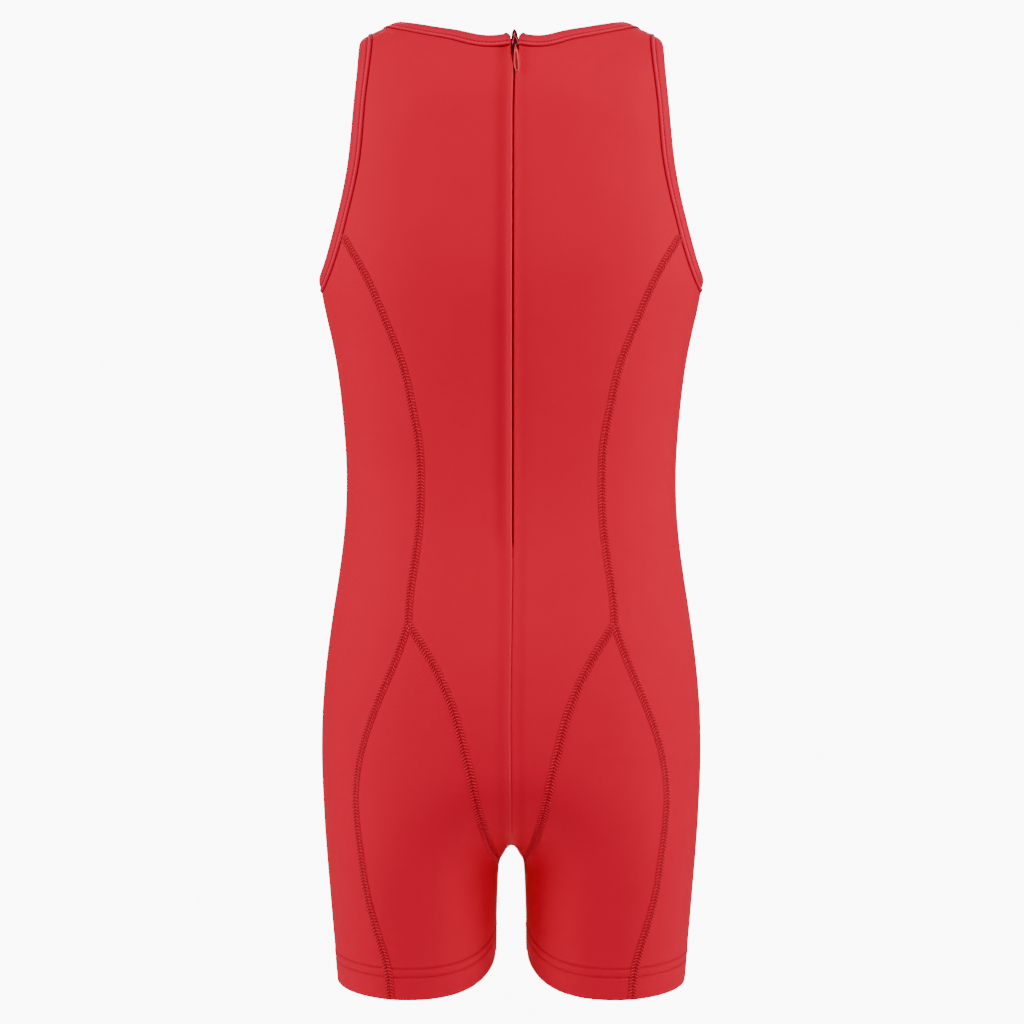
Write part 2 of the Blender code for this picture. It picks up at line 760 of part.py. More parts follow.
def build():
    for thing in list(bpy.data.objects):
        bpy.data.objects.remove(thing, do_unlink=True)
    group = collection_named("gymnastics_bodysuit")
    cutters = collection_named("cutters")
    knit = material_named("stretch_knit", RED, roughness=0.55)
    strip = material_named("binding_knit", RED, roughness=0.5)
    tape = material_named("zip_tape", DEEP_RED, roughness=0.7)
    paint = material_named("painted_metal", PAINTED_RED, roughness=0.3, metallic=0.6)

    # Edges of the openings, and the seams beside them
    shoulder_out = np.array([ARMHOLE_TOP, 0, ridge(ARMHOLE_TOP)])
    underarm = shot((0, 0, ARMHOLE_BOTTOM), (1, 0, 0))
    back_points = seen_points(ARMHOLE_BACK, 1)
    front_points = seen_points(ARMHOLE_FRONT, -1)[::-1]
    armhole_edge = flowing(
        [shoulder_out, *back_points, underarm, *front_points, shoulder_out], closed=True
    )
    armhole_seam = inset(armhole_edge, BINDING_WIDTH, SUIT_MIDDLE)
    neck_top = np.array([NECK_TOP, 0, ridge(NECK_TOP)])
    neck_edge = flowing([*seen_points(NECK_BACK, 1), neck_top, *seen_points(NECK_FRONT, -1)])
    neck_seam = inset(neck_edge, BINDING_WIDTH, SUIT_MIDDLE)
    neck_seam[-1, 0] = 0

    # Where seams meet
    neck_shoulder = on_shoulder(neck_seam)
    arm_shoulder = on_shoulder(armhole_seam)
    princess = flowing(seen_points(PRINCESS_SEAM, 1))
    back_notch = armhole_seam[nearest(armhole_seam, princess[0])]
    princess[0] = back_notch
    hem = hem_line()
    back_hem = hem_point(hem, OUTER_SEAM_HEM_ANGLE)
    front_hem = hem_point(hem, FRONT_SEAM_HEM_ANGLE)
    outer = flowing([*seen_points(OUTER_SEAM, 1), back_hem])
    inseam_heights = np.linspace(INSEAM_TOP, hem[0, 2], 7)
    level_line = np.zeros(len(inseam_heights))
    inseam_origin = np.stack(
        [level_line + LEG_MIDDLE, level_line - INSEAM_FORWARD, inseam_heights], axis=-1
    )
    inseam = flowing(shot(inseam_origin, (-1, 0, 0), reach=LEG_MIDDLE))
    inner_hem = hem[nearest(hem, inseam[-1])]
    inseam[-1] = inner_hem
    inner = flowing([*seen_points(INNER_SEAM, 1), inseam[0]])
    front_side = flowing([*seen_points(FRONT_SIDE_SEAM, -1), front_hem])
    front_notch = armhole_seam[nearest(armhole_seam, front_side[0])]
    front_side[0] = front_notch
    back_centre = centre_line(1, neck_seam[0, 2])
    neck_seam[0] = back_centre[0]
    front_centre = centre_line(-1, neck_seam[-1, 2])
    crotch = settled(
        np.linspace(0, 1, CROTCH_CELLS + 1)[:, None] * (inseam[0] - front_centre[-1]) + front_centre[-1]
    )
    crotch[0], crotch[-1] = front_centre[-1], inseam[0]

    # Cut the seams into cells that neighbouring panels share
    armhole_back = evenly(stretch(armhole_seam[:HALF_LINE], arm_shoulder, back_notch), ARMHOLE_CELLS)
    armhole_under = evenly(stretch(armhole_seam, back_notch, front_notch), SIDE_COLUMNS)
    armhole_front = stretch(armhole_seam[HALF_LINE:], armhole_seam[-1], front_notch)
    armhole_front = evenly(armhole_front, ARMHOLE_CELLS)
    armhole_front[0] = armhole_back[0]
    princess = evenly(princess, PRINCESS_CELLS)
    outer = to_hem(outer, OUTER_CELLS)
    inner = evenly(inner, INNER_CELLS)
    inseam = to_hem(inseam, INSEAM_CELLS)
    front_side = to_hem(front_side, PRINCESS_CELLS + OUTER_CELLS)
    shoulder = np.stack([neck_shoulder, armhole_back[0]])
    neck_back = evenly(stretch(neck_seam, neck_seam[0], neck_shoulder), BACK_COLUMNS - 1)
    neck_front = evenly(stretch(neck_seam, neck_shoulder, neck_seam[-1]), FRONT_NECK_CELLS)
    crotch_fine = evenly(crotch, BACK_COLUMNS)
    crotch_fine[::2] = crotch
    crotch_fine[1::2] = (crotch[1:] + crotch[:-1]) / 2
    crotch_fine[0] = back_centre[-1]

    def centre_cells(line, notch, cells_high, cells_low):
        """A centre line cut level with the princess seam's notch and fork."""
        high = line[:CENTRE_HIGH_POINTS, 2]
        notch_at = int(np.argmin(np.abs(high - notch[2])))
        fork_at = int(np.argmin(np.abs(high - outer[0, 2])))
        return joined(
            evenly(line[: notch_at + 1], cells_high),
            evenly(line[notch_at : fork_at + 1], PRINCESS_CELLS),
            evenly(line[fork_at:], cells_low),
        )

    # Panels, left and right
    back_left_edge = joined(armhole_back, princess, inner)
    back_right_edge = centre_cells(back_centre, back_notch, ARMHOLE_CELLS, INNER_CELLS)
    back = patch(
        back_left_edge,
        back_right_edge,
        BACK_COLUMNS,
        top=joined(neck_back, shoulder)[::-1],
        bottom=crotch_fine[::-1],
        top_reach=BACK_TOP_REACH,
        bottom_reach=BACK_BOTTOM_REACH,
    )
    back = trimmed(trimmed(back, ("left", "top")), ("bottom",), amount=SEAM_GAP)
    crotch_end, above = back_right_edge[-1], back_right_edge[-2]
    back[-1, -1] = crotch_end + unit(above - crotch_end) * 2 * SEAM_GAP
    side = patch(
        joined(princess, outer),
        front_side,
        SIDE_COLUMNS,
        top=armhole_under,
        bottom=evenly(stretch(hem, back_hem, front_hem), SIDE_COLUMNS),
        top_reach=SIDE_TOP_REACH,
    )
    side = trimmed(side, ("left", "right", "top"))
    leg_right_edge = joined(inner, inseam)
    leg = patch(
        outer,
        leg_right_edge,
        LEG_COLUMNS,
        bottom=evenly(stretch(hem, back_hem, hem[-1])[:-1], LEG_COLUMNS),
    )
    leg = trimmed(leg, ("left", "right"))
    fork = outer[0]
    leg[0] = fork + unit(leg[1, LEG_COLUMNS // 2] - fork) * 3 * SEAM_GAP
    front_left_edge = joined(armhole_front, front_side)
    front_middle = centre_cells(
        front_centre, front_notch, ARMHOLE_CELLS - FRONT_NECK_CELLS, INNER_CELLS - CROTCH_CELLS
    )
    front = patch(
        front_left_edge,
        joined(neck_front, front_middle, crotch, inseam),
        FRONT_COLUMNS,
        top=evenly(shoulder[::-1], FRONT_COLUMNS),
        bottom=evenly(stretch(hem, front_hem, inner_hem), FRONT_COLUMNS),
        top_reach=FRONT_TOP_REACH,
    )
    middle_start = FRONT_NECK_CELLS
    middle_end = middle_start + len(front_middle) - 1
    front = trimmed(front, ("left", "top"))
    front = trimmed(front, ("right",), rows=slice(0, middle_start + 1))
    front = trimmed(front, ("right",), rows=slice(middle_end, None))
    front[middle_start : middle_end + 1, -1, 0] = 0

    for name, turn in (("left", 1), ("right", -1)):
        reach = np.array([turn, 1, 1])
        for piece, grid in (("back", back), ("side", side), ("back_leg", leg)):
            cloth(f"{piece}_{name}", [grid * reach], hem_inside, level(WALL), group, knit)
    cloth("front", [front, mirrored(front)], hem_inside, level(WALL), group, knit)

    # Bindings share the panels' cut points along their seams
    ring = joined(armhole_back, armhole_under, armhole_front[::-1])
    ring_edge = armhole_edge[[nearest(armhole_seam, point) for point in ring]]
    ring_edge[0] = ring_edge[-1] = shoulder_out
    armhole_band = trimmed(binding_grid(ring, ring_edge), ("top",))
    armhole_band[:, -1] = armhole_band[:, 0]
    for name, turn in (("left", 1), ("right", -1)):
        reach = np.array([turn, 1, 1])
        cloth(
            f"armhole_binding_{name}",
            [armhole_band * reach],
            level(-BINDING_INSIDE),
            folded(ring_edge * reach),
            group,
            strip,
        )
    neck_line = joined(neck_back, neck_front)
    neck_out = neck_edge[[nearest(neck_seam, point) for point in neck_line]]
    neck_band = trimmed(binding_grid(neck_line, neck_out), ("top",))
    neck_band[:, -1, 0] = 0
    cloth(
        "neck_binding",
        [neck_band, mirrored(neck_band)],
        level(-BINDING_INSIDE),
        folded(np.concatenate([neck_out, mirrored(neck_out)])),
        group,
        strip,
    )
    make_zip(group, cutters, tape, paint)


build()
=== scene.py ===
# Gymnastics bodysuit seen from behind: knit panels, flat seams, bindings, hems and the back zip
# metres, +Z up, the back faces +Y; the tables are in millimetres
import math

import bmesh
import bpy
import numpy as np
from mathutils import Matrix, Vector


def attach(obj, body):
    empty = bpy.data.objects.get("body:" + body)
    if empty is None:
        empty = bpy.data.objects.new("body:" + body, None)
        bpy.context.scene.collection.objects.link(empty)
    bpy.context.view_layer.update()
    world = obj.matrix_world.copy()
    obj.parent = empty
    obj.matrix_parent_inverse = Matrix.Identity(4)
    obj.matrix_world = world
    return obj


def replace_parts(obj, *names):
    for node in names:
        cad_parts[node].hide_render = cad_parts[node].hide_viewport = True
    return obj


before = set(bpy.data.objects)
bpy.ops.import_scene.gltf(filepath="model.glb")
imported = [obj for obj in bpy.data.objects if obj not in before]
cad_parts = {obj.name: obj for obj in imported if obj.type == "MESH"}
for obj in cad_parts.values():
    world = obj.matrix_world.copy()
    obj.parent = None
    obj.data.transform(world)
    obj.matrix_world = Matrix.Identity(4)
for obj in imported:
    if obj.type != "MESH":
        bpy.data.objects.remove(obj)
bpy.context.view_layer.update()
mm = 0.001
mirror = np.array([-1, 1, 1])
sides = {"Left": np.array([1, 1, 1]), "Right": mirror}

# the figure that fills the suit
figure = {
    "torso": (  # height, half width, back depth, front depth
        (40, 117, 52, 46), (-20, 118, 70, 60), (-70, 119.5, 79, 70), (-120, 123.5, 84, 79), (-163, 127.5, 85.5, 83),
        (-206, 119.5, 81, 82), (-255, 112.3, 74.5, 78.5), (-300, 109.6, 71.5, 76.5), (-345, 112.2, 75, 77.5),
        (-395, 119.4, 84.5, 80.5), (-440, 124.6, 91, 82.5), (-480, 126.2, 92, 81), (-520, 124.8, 88, 77),
        (-560, 122, 80, 72), (-600, 118.6, 70, 66),
    ),
    "leg": (  # height, inner edge, outer edge, back depth, front depth
        (-440, 5, 124.6, 84, 72), (-520, 7, 124.8, 79, 70), (-560, 10.2, 122, 73, 67), (-600, 11.7, 118.6, 66, 63),
        (-640, 12.6, 115, 60.5, 59), (-680, 13, 112, 58, 57),
    ),
    "shoulder": (  # distance from the centre, height of the shoulder line
        (0, 22), (40, 17), (77, 6), (86, 2.4), (95, -2), (104, -10.5), (115, -25), (130, -50),
    ),
    "shoulderRoll": 75 * mm,
    "roundness": 2.3,
    "legRoundness": 2.15,
    "highlightWiresStart": -490 * mm,
    "highlightWiresApart": -560 * mm,
    "crotchSoftness": 20 * mm,
    "torsoReach": 80 * mm,
    "legReach": 60 * mm,
}

# where the cloth is cut: height, distance from the centre
cut = {
    "princess": (
        (-143, 108.2), (-165, 95.7), (-203, 79), (-227, 70), (-254, 64), (-276, 60), (-300, 58.6), (-322, 59),
        (-345, 61), (-384, 66), (-395, 66.4),
    ),
    "outer": (
        (-395, 66.4), (-417, 74), (-437, 82.4), (-456, 90), (-476, 96.4), (-494, 99.8), (-509, 100.7), (-528, 99.5),
        (-550, 96.6), (-569, 93.8), (-589, 89), (-605, 84.3), (-622, 80),
    ),
    "inner": (
        (-395, 66.4), (-408, 57.7), (-422, 49.3), (-437, 42), (-456, 35), (-474, 30.3), (-492, 26), (-505, 23.5),
        (-528, 18.2), (-541, 14.6), (-551, 10.8),
    ),
    "frontSide": (
        (-140, 114), (-165, 108), (-205, 99), (-255, 93), (-300, 91), (-350, 94), (-400, 102), (-450, 108),
        (-500, 109), (-560, 104), (-610, 97),
    ),
    "armholeBack": (
        (-24, 101.9), (-51, 103.6), (-77, 105.6), (-102, 109), (-128, 114.9), (-142, 118.7), (-155, 122.9),
    ),
    "armholeFront": ((-24, 99), (-51, 98.5), (-77, 100), (-102, 105), (-128, 113), (-147, 120.4), (-157, 124.8)),
    "armholeTop": 101.3 * mm,
    "armholeBottom": -163 * mm,
    "neckBack": ((-8.8, 6), (-9.8, 16), (-5.8, 33), (-2, 48), (0.6, 57), (3.4, 66)),
    "neckFront": ((-14, 71), (-31, 60), (-44, 41), (-50, 21), (-52, 0)),
    "neckTop": 77 * mm,
    "neckCorner": ((-11.2, 2.5), (-10.2, 3.0), (-9.0, 3.9), (-8.1, 5.2), (-8.0, 6.6)),  # of the band at the zip
    "hem": ((0, -634.5), (45, -638.5), (90, -640.8), (125, -636), (150, -627.5), (180, -617)),  # angle, height
    "outerHemAngle": 76,
    "frontHemAngle": -50,
    "inseamTop": -562 * mm,
    "inseamForward": 4 * mm,
    "inseamFrom": 60 * mm,
    "crotchAngle": 118,
    "zipGap": (  # height, half the space between the edges
        (-600, 0.01), (-480, 0.01), (-400, 0.1), (-346, 0.15), (-342, 0.4), (-33, 0.4), (-24, 2.2), (0, 2.2),
    ),
    "zipLean": (  # height, how far the zip line stands off the middle
        (-900, -0.3), (-545, -0.3), (-450, 0.3), (-355, -1.0), (-180, -1.0), (-60, -1.3), (-35, -2.0), (-8, -2.4),
        (40, -2.4),
    ),
    "leanReach": 28 * mm,
    "leanFrom": (-20 * mm, 30 * mm),  # the depths over which it comes in
}

# cloth and sewing sizes, with how many cells each stretch of cloth gets
cloth = {
    "wall": 1.4 * mm,
    "hemFold": 0.9 * mm,
    "hemDepth": 21.5 * mm,
    "legTop": -550 * mm,
    "seamGap": 0.1 * mm,
    "underBinding": 1.2 * mm,  # how far the cloth lies under a band
    "bindingWidth": 9.5 * mm,
    "bindingBow": 2.4 * mm,  # how much wider the armhole band lies behind the arm
    "bindingLow": 1.4 * mm,  # and how much more towards the underarm, about the next height
    "bindingLowAt": -146 * mm,
    "bindingLowReach": 20 * mm,
    "bindingFrom": (-5 * mm, 22 * mm),  # the depths over which both come in
    "neckBow": 1.5 * mm,  # how much wider the neck band lies at the middle of the back
    "neckBowReach": 34 * mm,
    "neckBowFrom": (0, 20 * mm),
    "shoulderCells": 4,
    "armholeCells": 48,
    "frontNeckCells": 32,
    "princessCells": 56,
    "innerCells": 44,
    "inseamCells": 36,
    "crotchCells": 16,
    "hemRows": 26,
    "hemRowStep": 0.95 * mm,
    "backColumns": 40,
    "sideColumns": 28,
    "legColumns": 32,
    "frontColumns": 36,
    "zipColumns": (0, 0.35, 0.75, 1.2, 1.7, 2.3, 3.0, 3.8, 4.8, 6.0, 7.4, 9.0, 11.0, 13.5),
    "zipColumnsShare": 0.4,  # of a row's length, at most
    "zipColumnsFrom": (35 * mm, 55 * mm),  # row lengths over which they come in
    "weld": 0.005 * mm,
}


def curveThrough(knots, values):  # a smooth curve through given values
    steps = np.diff(knots)
    system, right = np.eye(len(knots)), np.zeros(len(knots))
    for i in range(1, len(knots) - 1):
        system[i, i - 1 : i + 2] = steps[i - 1], 2 * (steps[i - 1] + steps[i]), steps[i]
        right[i] = 6 * ((values[i + 1] - values[i]) / steps[i] - (values[i] - values[i - 1]) / steps[i - 1])
    bend = np.linalg.solve(system, right)

    def at(where):
        where = np.clip(where, knots[0], knots[-1])
        i = np.clip(np.searchsorted(knots, where) - 1, 0, len(steps) - 1)
        after = (where - knots[i]) / steps[i]
        before = 1 - after
        bow = (before**3 - before) * bend[i] + (after**3 - after) * bend[i + 1]
        return before * values[i] + after * values[i + 1] + bow * steps[i] ** 2 / 6

    return at


def columnsOf(table):
    rows = np.array(sorted(table), float) * mm
    return [curveThrough(rows[:, 0], column) for column in rows.T[1:]]


torsoHalf, torsoBack, torsoFront = columnsOf(figure["torso"])
legInner, legOuter, legBack, legFront = columnsOf(figure["leg"])
(shoulderLine,) = columnsOf(figure["shoulder"])
hemAngles, hemHeights = np.array(cut["hem"], float).T
hemEdge = curveThrough(hemAngles, hemHeights * mm)


def tableAt(table, heights):  # straight lines through a table in millimetres
    rows = np.array(table, float) * mm
    return np.interp(heights, rows[:, 0], rows[:, 1])


def smoothStep(value, low, high):
    share = np.clip((value - low) / (high - low), 0, 1)
    return share * share * (3 - 2 * share)


def hill(value, middle, width):
    return np.exp(-(((value - middle) / width) ** 2))


def spotsAt(x, y, z):
    return np.stack(np.broadcast_arrays(x, y, z), axis=-1).astype(float)


def unit(vectors):
    return vectors / np.maximum(np.linalg.norm(vectors, axis=-1, keepdims=True), 1e-12)


def legMiddle(heights):
    return (legInner(heights) + legOuter(heights)) / 2


def form(points):  # below 0 inside the filled-out suit, 0 on the cloth's inner face
    x, y, z = np.abs(points[..., 0]), points[..., 1], points[..., 2]
    power, legPower = figure["roundness"], figure["legRoundness"]
    depth = np.where(y > 0, torsoBack(z), torsoFront(z))
    rise = np.clip((z - shoulderLine(x)) / figure["shoulderRoll"] + 1, 0, None)
    roll = 1 - rise**2
    roll = np.sign(roll) * np.abs(roll) ** (power / 2)
    total = 1 - (1 - (x / torsoHalf(z)) ** power) * roll + (np.abs(y) / depth) ** power
    torso = (np.clip(total, 0, None) ** (1 / power) - 1) * figure["torsoReach"]
    share = smoothStep(z, figure["highlightWiresStart"], figure["highlightWiresApart"])
    middle, half = legMiddle(z), (legOuter(z) - legInner(z)) / 2
    soft = figure["crotchSoftness"] * (1 - share) * np.clip(1 - x / middle, 0, 1) ** 2
    depth = np.where(y > 0, legBack(z), legFront(z))
    aside = (np.abs(np.hypot(x, soft) - middle) / half) ** legPower
    leg = ((aside + (np.abs(y) / depth) ** legPower) ** (1 / legPower) - 1) * figure["legReach"]
    return (1 - share) * torso + share * leg


def slope(points):
    step = 0.01 * mm
    return np.stack([form(points + a) - form(points - a) for a in np.eye(3) * step], axis=-1) / (2 * step)


def settled(points):  # moved onto the form
    points = np.array(points, float)
    for _ in range(16):
        rate = slope(points)
        move = -form(points)[..., None] * rate / np.maximum((rate**2).sum(-1, keepdims=True), 1e-6)
        length = np.maximum(np.linalg.norm(move, axis=-1, keepdims=True), 1e-12)
        points += move * np.minimum(1, 4 * mm / length)
    return points


def shot(origin, direction, reach=160 * mm):  # where straight lines from inside leave the form
    origin, direction = np.broadcast_arrays(np.array(origin, float), unit(np.array(direction, float)))
    near, far = np.zeros(origin.shape[:-1]), np.full(origin.shape[:-1], reach)
    for _ in range(40):
        middle = (near + far) / 2
        outside = form(origin + direction * middle[..., None]) > 0
        far, near = np.where(outside, middle, far), np.where(outside, near, middle)
    return origin + direction * near[..., None]


def seenPoints(table, side):
    rows = np.array(table, float) * mm
    return shot(spotsAt(rows[:, 1], 0, rows[:, 0]), (0, side, 0))


def along(line):
    return np.concatenate([[0], np.cumsum(np.linalg.norm(np.diff(line, axis=0), axis=1))])


def sampled(values, length, where):
    return np.stack([np.interp(where, length, column) for column in values.T], axis=-1)


def cutAt(line, where):
    return sampled(line, along(line), where)


def curvedAt(line, where):  # on a smooth curve through the line's points
    length = along(line)
    return np.stack([curveThrough(length, column)(where) for column in line.T], axis=-1)


def evenly(line, cells):
    return cutAt(line, np.linspace(0, along(line)[-1], cells + 1))


def toHem(line, cells):  # evenly down to the hem, then in the hem's fine rows
    rows = cloth["hemRows"]
    low = along(line)[-1] - cloth["hemRowStep"] * np.arange(rows, -1, -1)
    return cutAt(line, np.append(np.linspace(0, low[0], cells - rows + 1)[:-1], low))


def flowing(points, closed=False):
    points = np.array(points, float)
    spare = 3 if closed else 0
    if closed:
        points = np.concatenate([points[-4:-1], points, points[1:4]])
    length = along(points)
    return settled(curvedAt(points, np.linspace(length[spare], length[-1 - spare], 1400)))


def nearest(line, point):
    return int(np.argmin(((line - point) ** 2).sum(-1)))


def stretch(line, start, end):
    first, last = nearest(line, start), nearest(line, end)
    return line[first : last + 1] if first <= last else line[last : first + 1][::-1]


def joined(*lines):
    return np.concatenate([lines[0]] + [line[1:] for line in lines[1:]])


def onShoulder(line):
    return line[np.argmin(np.abs(line[:, 1]) + (line[:, 2] < -30 * mm))]


def outward(places):  # away from the figure, without a split at its middle
    away = unit(slope(places))
    away[:, 0] *= np.clip(np.abs(places[:, 0]) / (4 * mm), 0, 1)
    return unit(away)


def sideways(line):
    return unit(np.cross(slope(line), np.gradient(line, axis=0)))


def inset(edge, width, toward):
    across = sideways(edge)
    side = np.sign(((toward - edge) * across).sum(-1).mean())
    line = edge
    for _ in range(4):
        line = settled(line + side * across * width / 4)
    return line


def centreLine(side, top):
    heights = np.linspace(top, figure["highlightWiresStart"], 600)
    last = cut["crotchAngle"] if side > 0 else 180 - cut["crotchAngle"]
    turn = np.radians(np.linspace(0, last, 400))[1:]
    x = tableAt(cut["zipGap"], heights) if side > 0 else 0
    upper = shot(spotsAt(x, 0, heights), (0, side, 0))
    aim = spotsAt(0, side * np.cos(turn), -np.sin(turn))
    lower = shot((0.01 * mm if side > 0 else 0, 0, figure["highlightWiresStart"]), aim)
    return np.concatenate([upper, lower])


def patch(left, right, columns, top=None, bottom=None, topReach=80 * mm, bottomReach=70 * mm):
    share = np.linspace(0, 1, columns + 1)[None, :, None]
    grid = left[:, None] * (1 - share) + right[:, None] * share
    for _ in range(3):
        grid[:, 1:-1] = settled(grid[:, 1:-1])
        grid = np.stack([evenly(row, columns) for row in grid])
    down = along((left + right) / 2)
    for line, row, distance, reach in ((top, 0, down, topReach), (bottom, -1, down[-1] - down, bottomReach)):
        if line is not None:
            grid = grid + hill(distance, 0, reach)[:, None, None] * (line - grid[row])
    grid = settled(grid)
    grid[:, 0], grid[:, -1] = left, right
    for line, row in ((top, 0), (bottom, -1)):
        if line is not None:
            grid[row] = line
    return grid


def moved(grid, side, amount, rows=slice(None)):  # one side of a grid moved inward over some rows
    edge, inner = {
        "left": (np.s_[rows, 0], np.s_[rows, 1]),
        "right": (np.s_[rows, -1], np.s_[rows, -2]),
        "top": (np.s_[0], np.s_[1]),
        "bottom": (np.s_[-1], np.s_[-2]),
    }[side]
    line = grid[edge]
    across = sideways(line)
    turn = np.sign(((grid[inner] - line) * across).sum(-1, keepdims=True))
    out = grid.copy()
    out[edge] = out[edge] + turn * across * amount
    return out


def finerAtZip(grid):  # closer columns beside the zip, for its folds
    columns = grid.shape[1] - 1
    near = np.array(cloth["zipColumns"], float) * mm
    out = grid.copy()
    for i, row in enumerate(grid):
        whole = along(row)[-1]
        even = np.linspace(0, whole, columns + 1)
        last = whole - near[near < whole * cloth["zipColumnsShare"]][::-1]
        if len(last) < len(near):
            continue
        fine = np.append(np.linspace(0, last[0], columns - len(near) + 2)[:-1], last)
        share = smoothStep(whole, *cloth["zipColumnsFrom"])
        out[i] = cutAt(row, even * (1 - share) + fine * share)
    out[1:-1, 1:-1] = settled(out[1:-1, 1:-1])
    return out


def hemRing(rise, count=721):  # round a leg, some way above its edge
    angles = np.radians(np.linspace(-180, 180, count))
    height = hemEdge(np.degrees(np.abs(angles))) + rise
    middle = legMiddle(height)
    return shot(spotsAt(middle, 0, height), spotsAt(np.cos(angles), np.sin(angles), 0), reach=middle.min())


def seamLines():
    line = {}
    top = cut["armholeTop"]
    armholeTop = np.array([top, 0, shoulderLine(top)])
    underarm = shot((0, 0, cut["armholeBottom"]), (1, 0, 0))
    backPoints, frontPoints = seenPoints(cut["armholeBack"], 1), seenPoints(cut["armholeFront"], -1)[::-1]
    line["armholeEdge"] = flowing([armholeTop, *backPoints, underarm, *frontPoints, armholeTop], closed=True)
    middle = np.array([0, 0, -300 * mm])
    x, y, z = line["armholeEdge"].T
    lower = cloth["bindingLow"] * hill(z, cloth["bindingLowAt"], cloth["bindingLowReach"])
    wider = (cloth["bindingBow"] + lower) * smoothStep(y, *cloth["bindingFrom"])
    line["armhole"] = inset(line["armholeEdge"], (cloth["bindingWidth"] + wider)[:, None], middle)
    neckTop = np.array([cut["neckTop"], 0, shoulderLine(cut["neckTop"])])
    line["neckEdge"] = flowing([*seenPoints(cut["neckBack"], 1), neckTop, *seenPoints(cut["neckFront"], -1)])
    x, y, z = line["neckEdge"].T
    wider = cloth["neckBow"] * hill(x, 0, cloth["neckBowReach"]) * smoothStep(y, *cloth["neckBowFrom"])
    neck = inset(line["neckEdge"], (cloth["bindingWidth"] + wider)[:, None], middle)
    neck[-1, 0] = 0
    line["neckShoulder"], line["armShoulder"] = onShoulder(neck), onShoulder(line["armhole"])
    princess = flowing(seenPoints(cut["princess"], 1))
    line["backNotch"] = princess[0] = line["armhole"][nearest(line["armhole"], princess[0])]
    hem = hemRing(0, 1441)
    line["backHem"] = hem[(cut["outerHemAngle"] + 180) * 4]
    line["frontHem"] = hem[(cut["frontHemAngle"] + 180) * 4]
    outer = flowing([*seenPoints(cut["outer"], 1), line["backHem"]])
    heights = np.linspace(cut["inseamTop"], hem[0, 2], 7)
    start = spotsAt(cut["inseamFrom"], -cut["inseamForward"], heights)
    inseam = flowing(shot(start, (-1, 0, 0), reach=cut["inseamFrom"]))
    line["innerHem"] = inseam[-1] = hem[nearest(hem, inseam[-1])]
    inner = flowing([*seenPoints(cut["inner"], 1), inseam[0]])
    frontSide = flowing([*seenPoints(cut["frontSide"], -1), line["frontHem"]])
    line["frontNotch"] = frontSide[0] = line["armhole"][nearest(line["armhole"], frontSide[0])]
    backCentre = centreLine(1, neck[0, 2])
    neck[0] = backCentre[0]
    frontCentre = centreLine(-1, neck[-1, 2])
    share = np.linspace(0, 1, cloth["crotchCells"] + 1)[:, None]
    crotch = settled(share * (inseam[0] - frontCentre[-1]) + frontCentre[-1])
    crotch[0], crotch[-1] = frontCentre[-1], inseam[0]
    line.update(neck=neck, princess=princess, hem=hem, outer=outer, inseam=inseam, inner=inner)
    line.update(frontSide=frontSide, backCentre=backCentre, frontCentre=frontCentre, crotch=crotch)
    return line


def centreCells(line, notch, fork, cellsHigh, cellsLow):
    high = line[:600, 2]
    notchAt, forkAt = int(np.argmin(np.abs(high - notch[2]))), int(np.argmin(np.abs(high - fork[2])))
    return joined(
        evenly(line[: notchAt + 1], cellsHigh),
        evenly(line[notchAt : forkAt + 1], cloth["princessCells"]),
        evenly(line[forkAt:], cellsLow),
    )


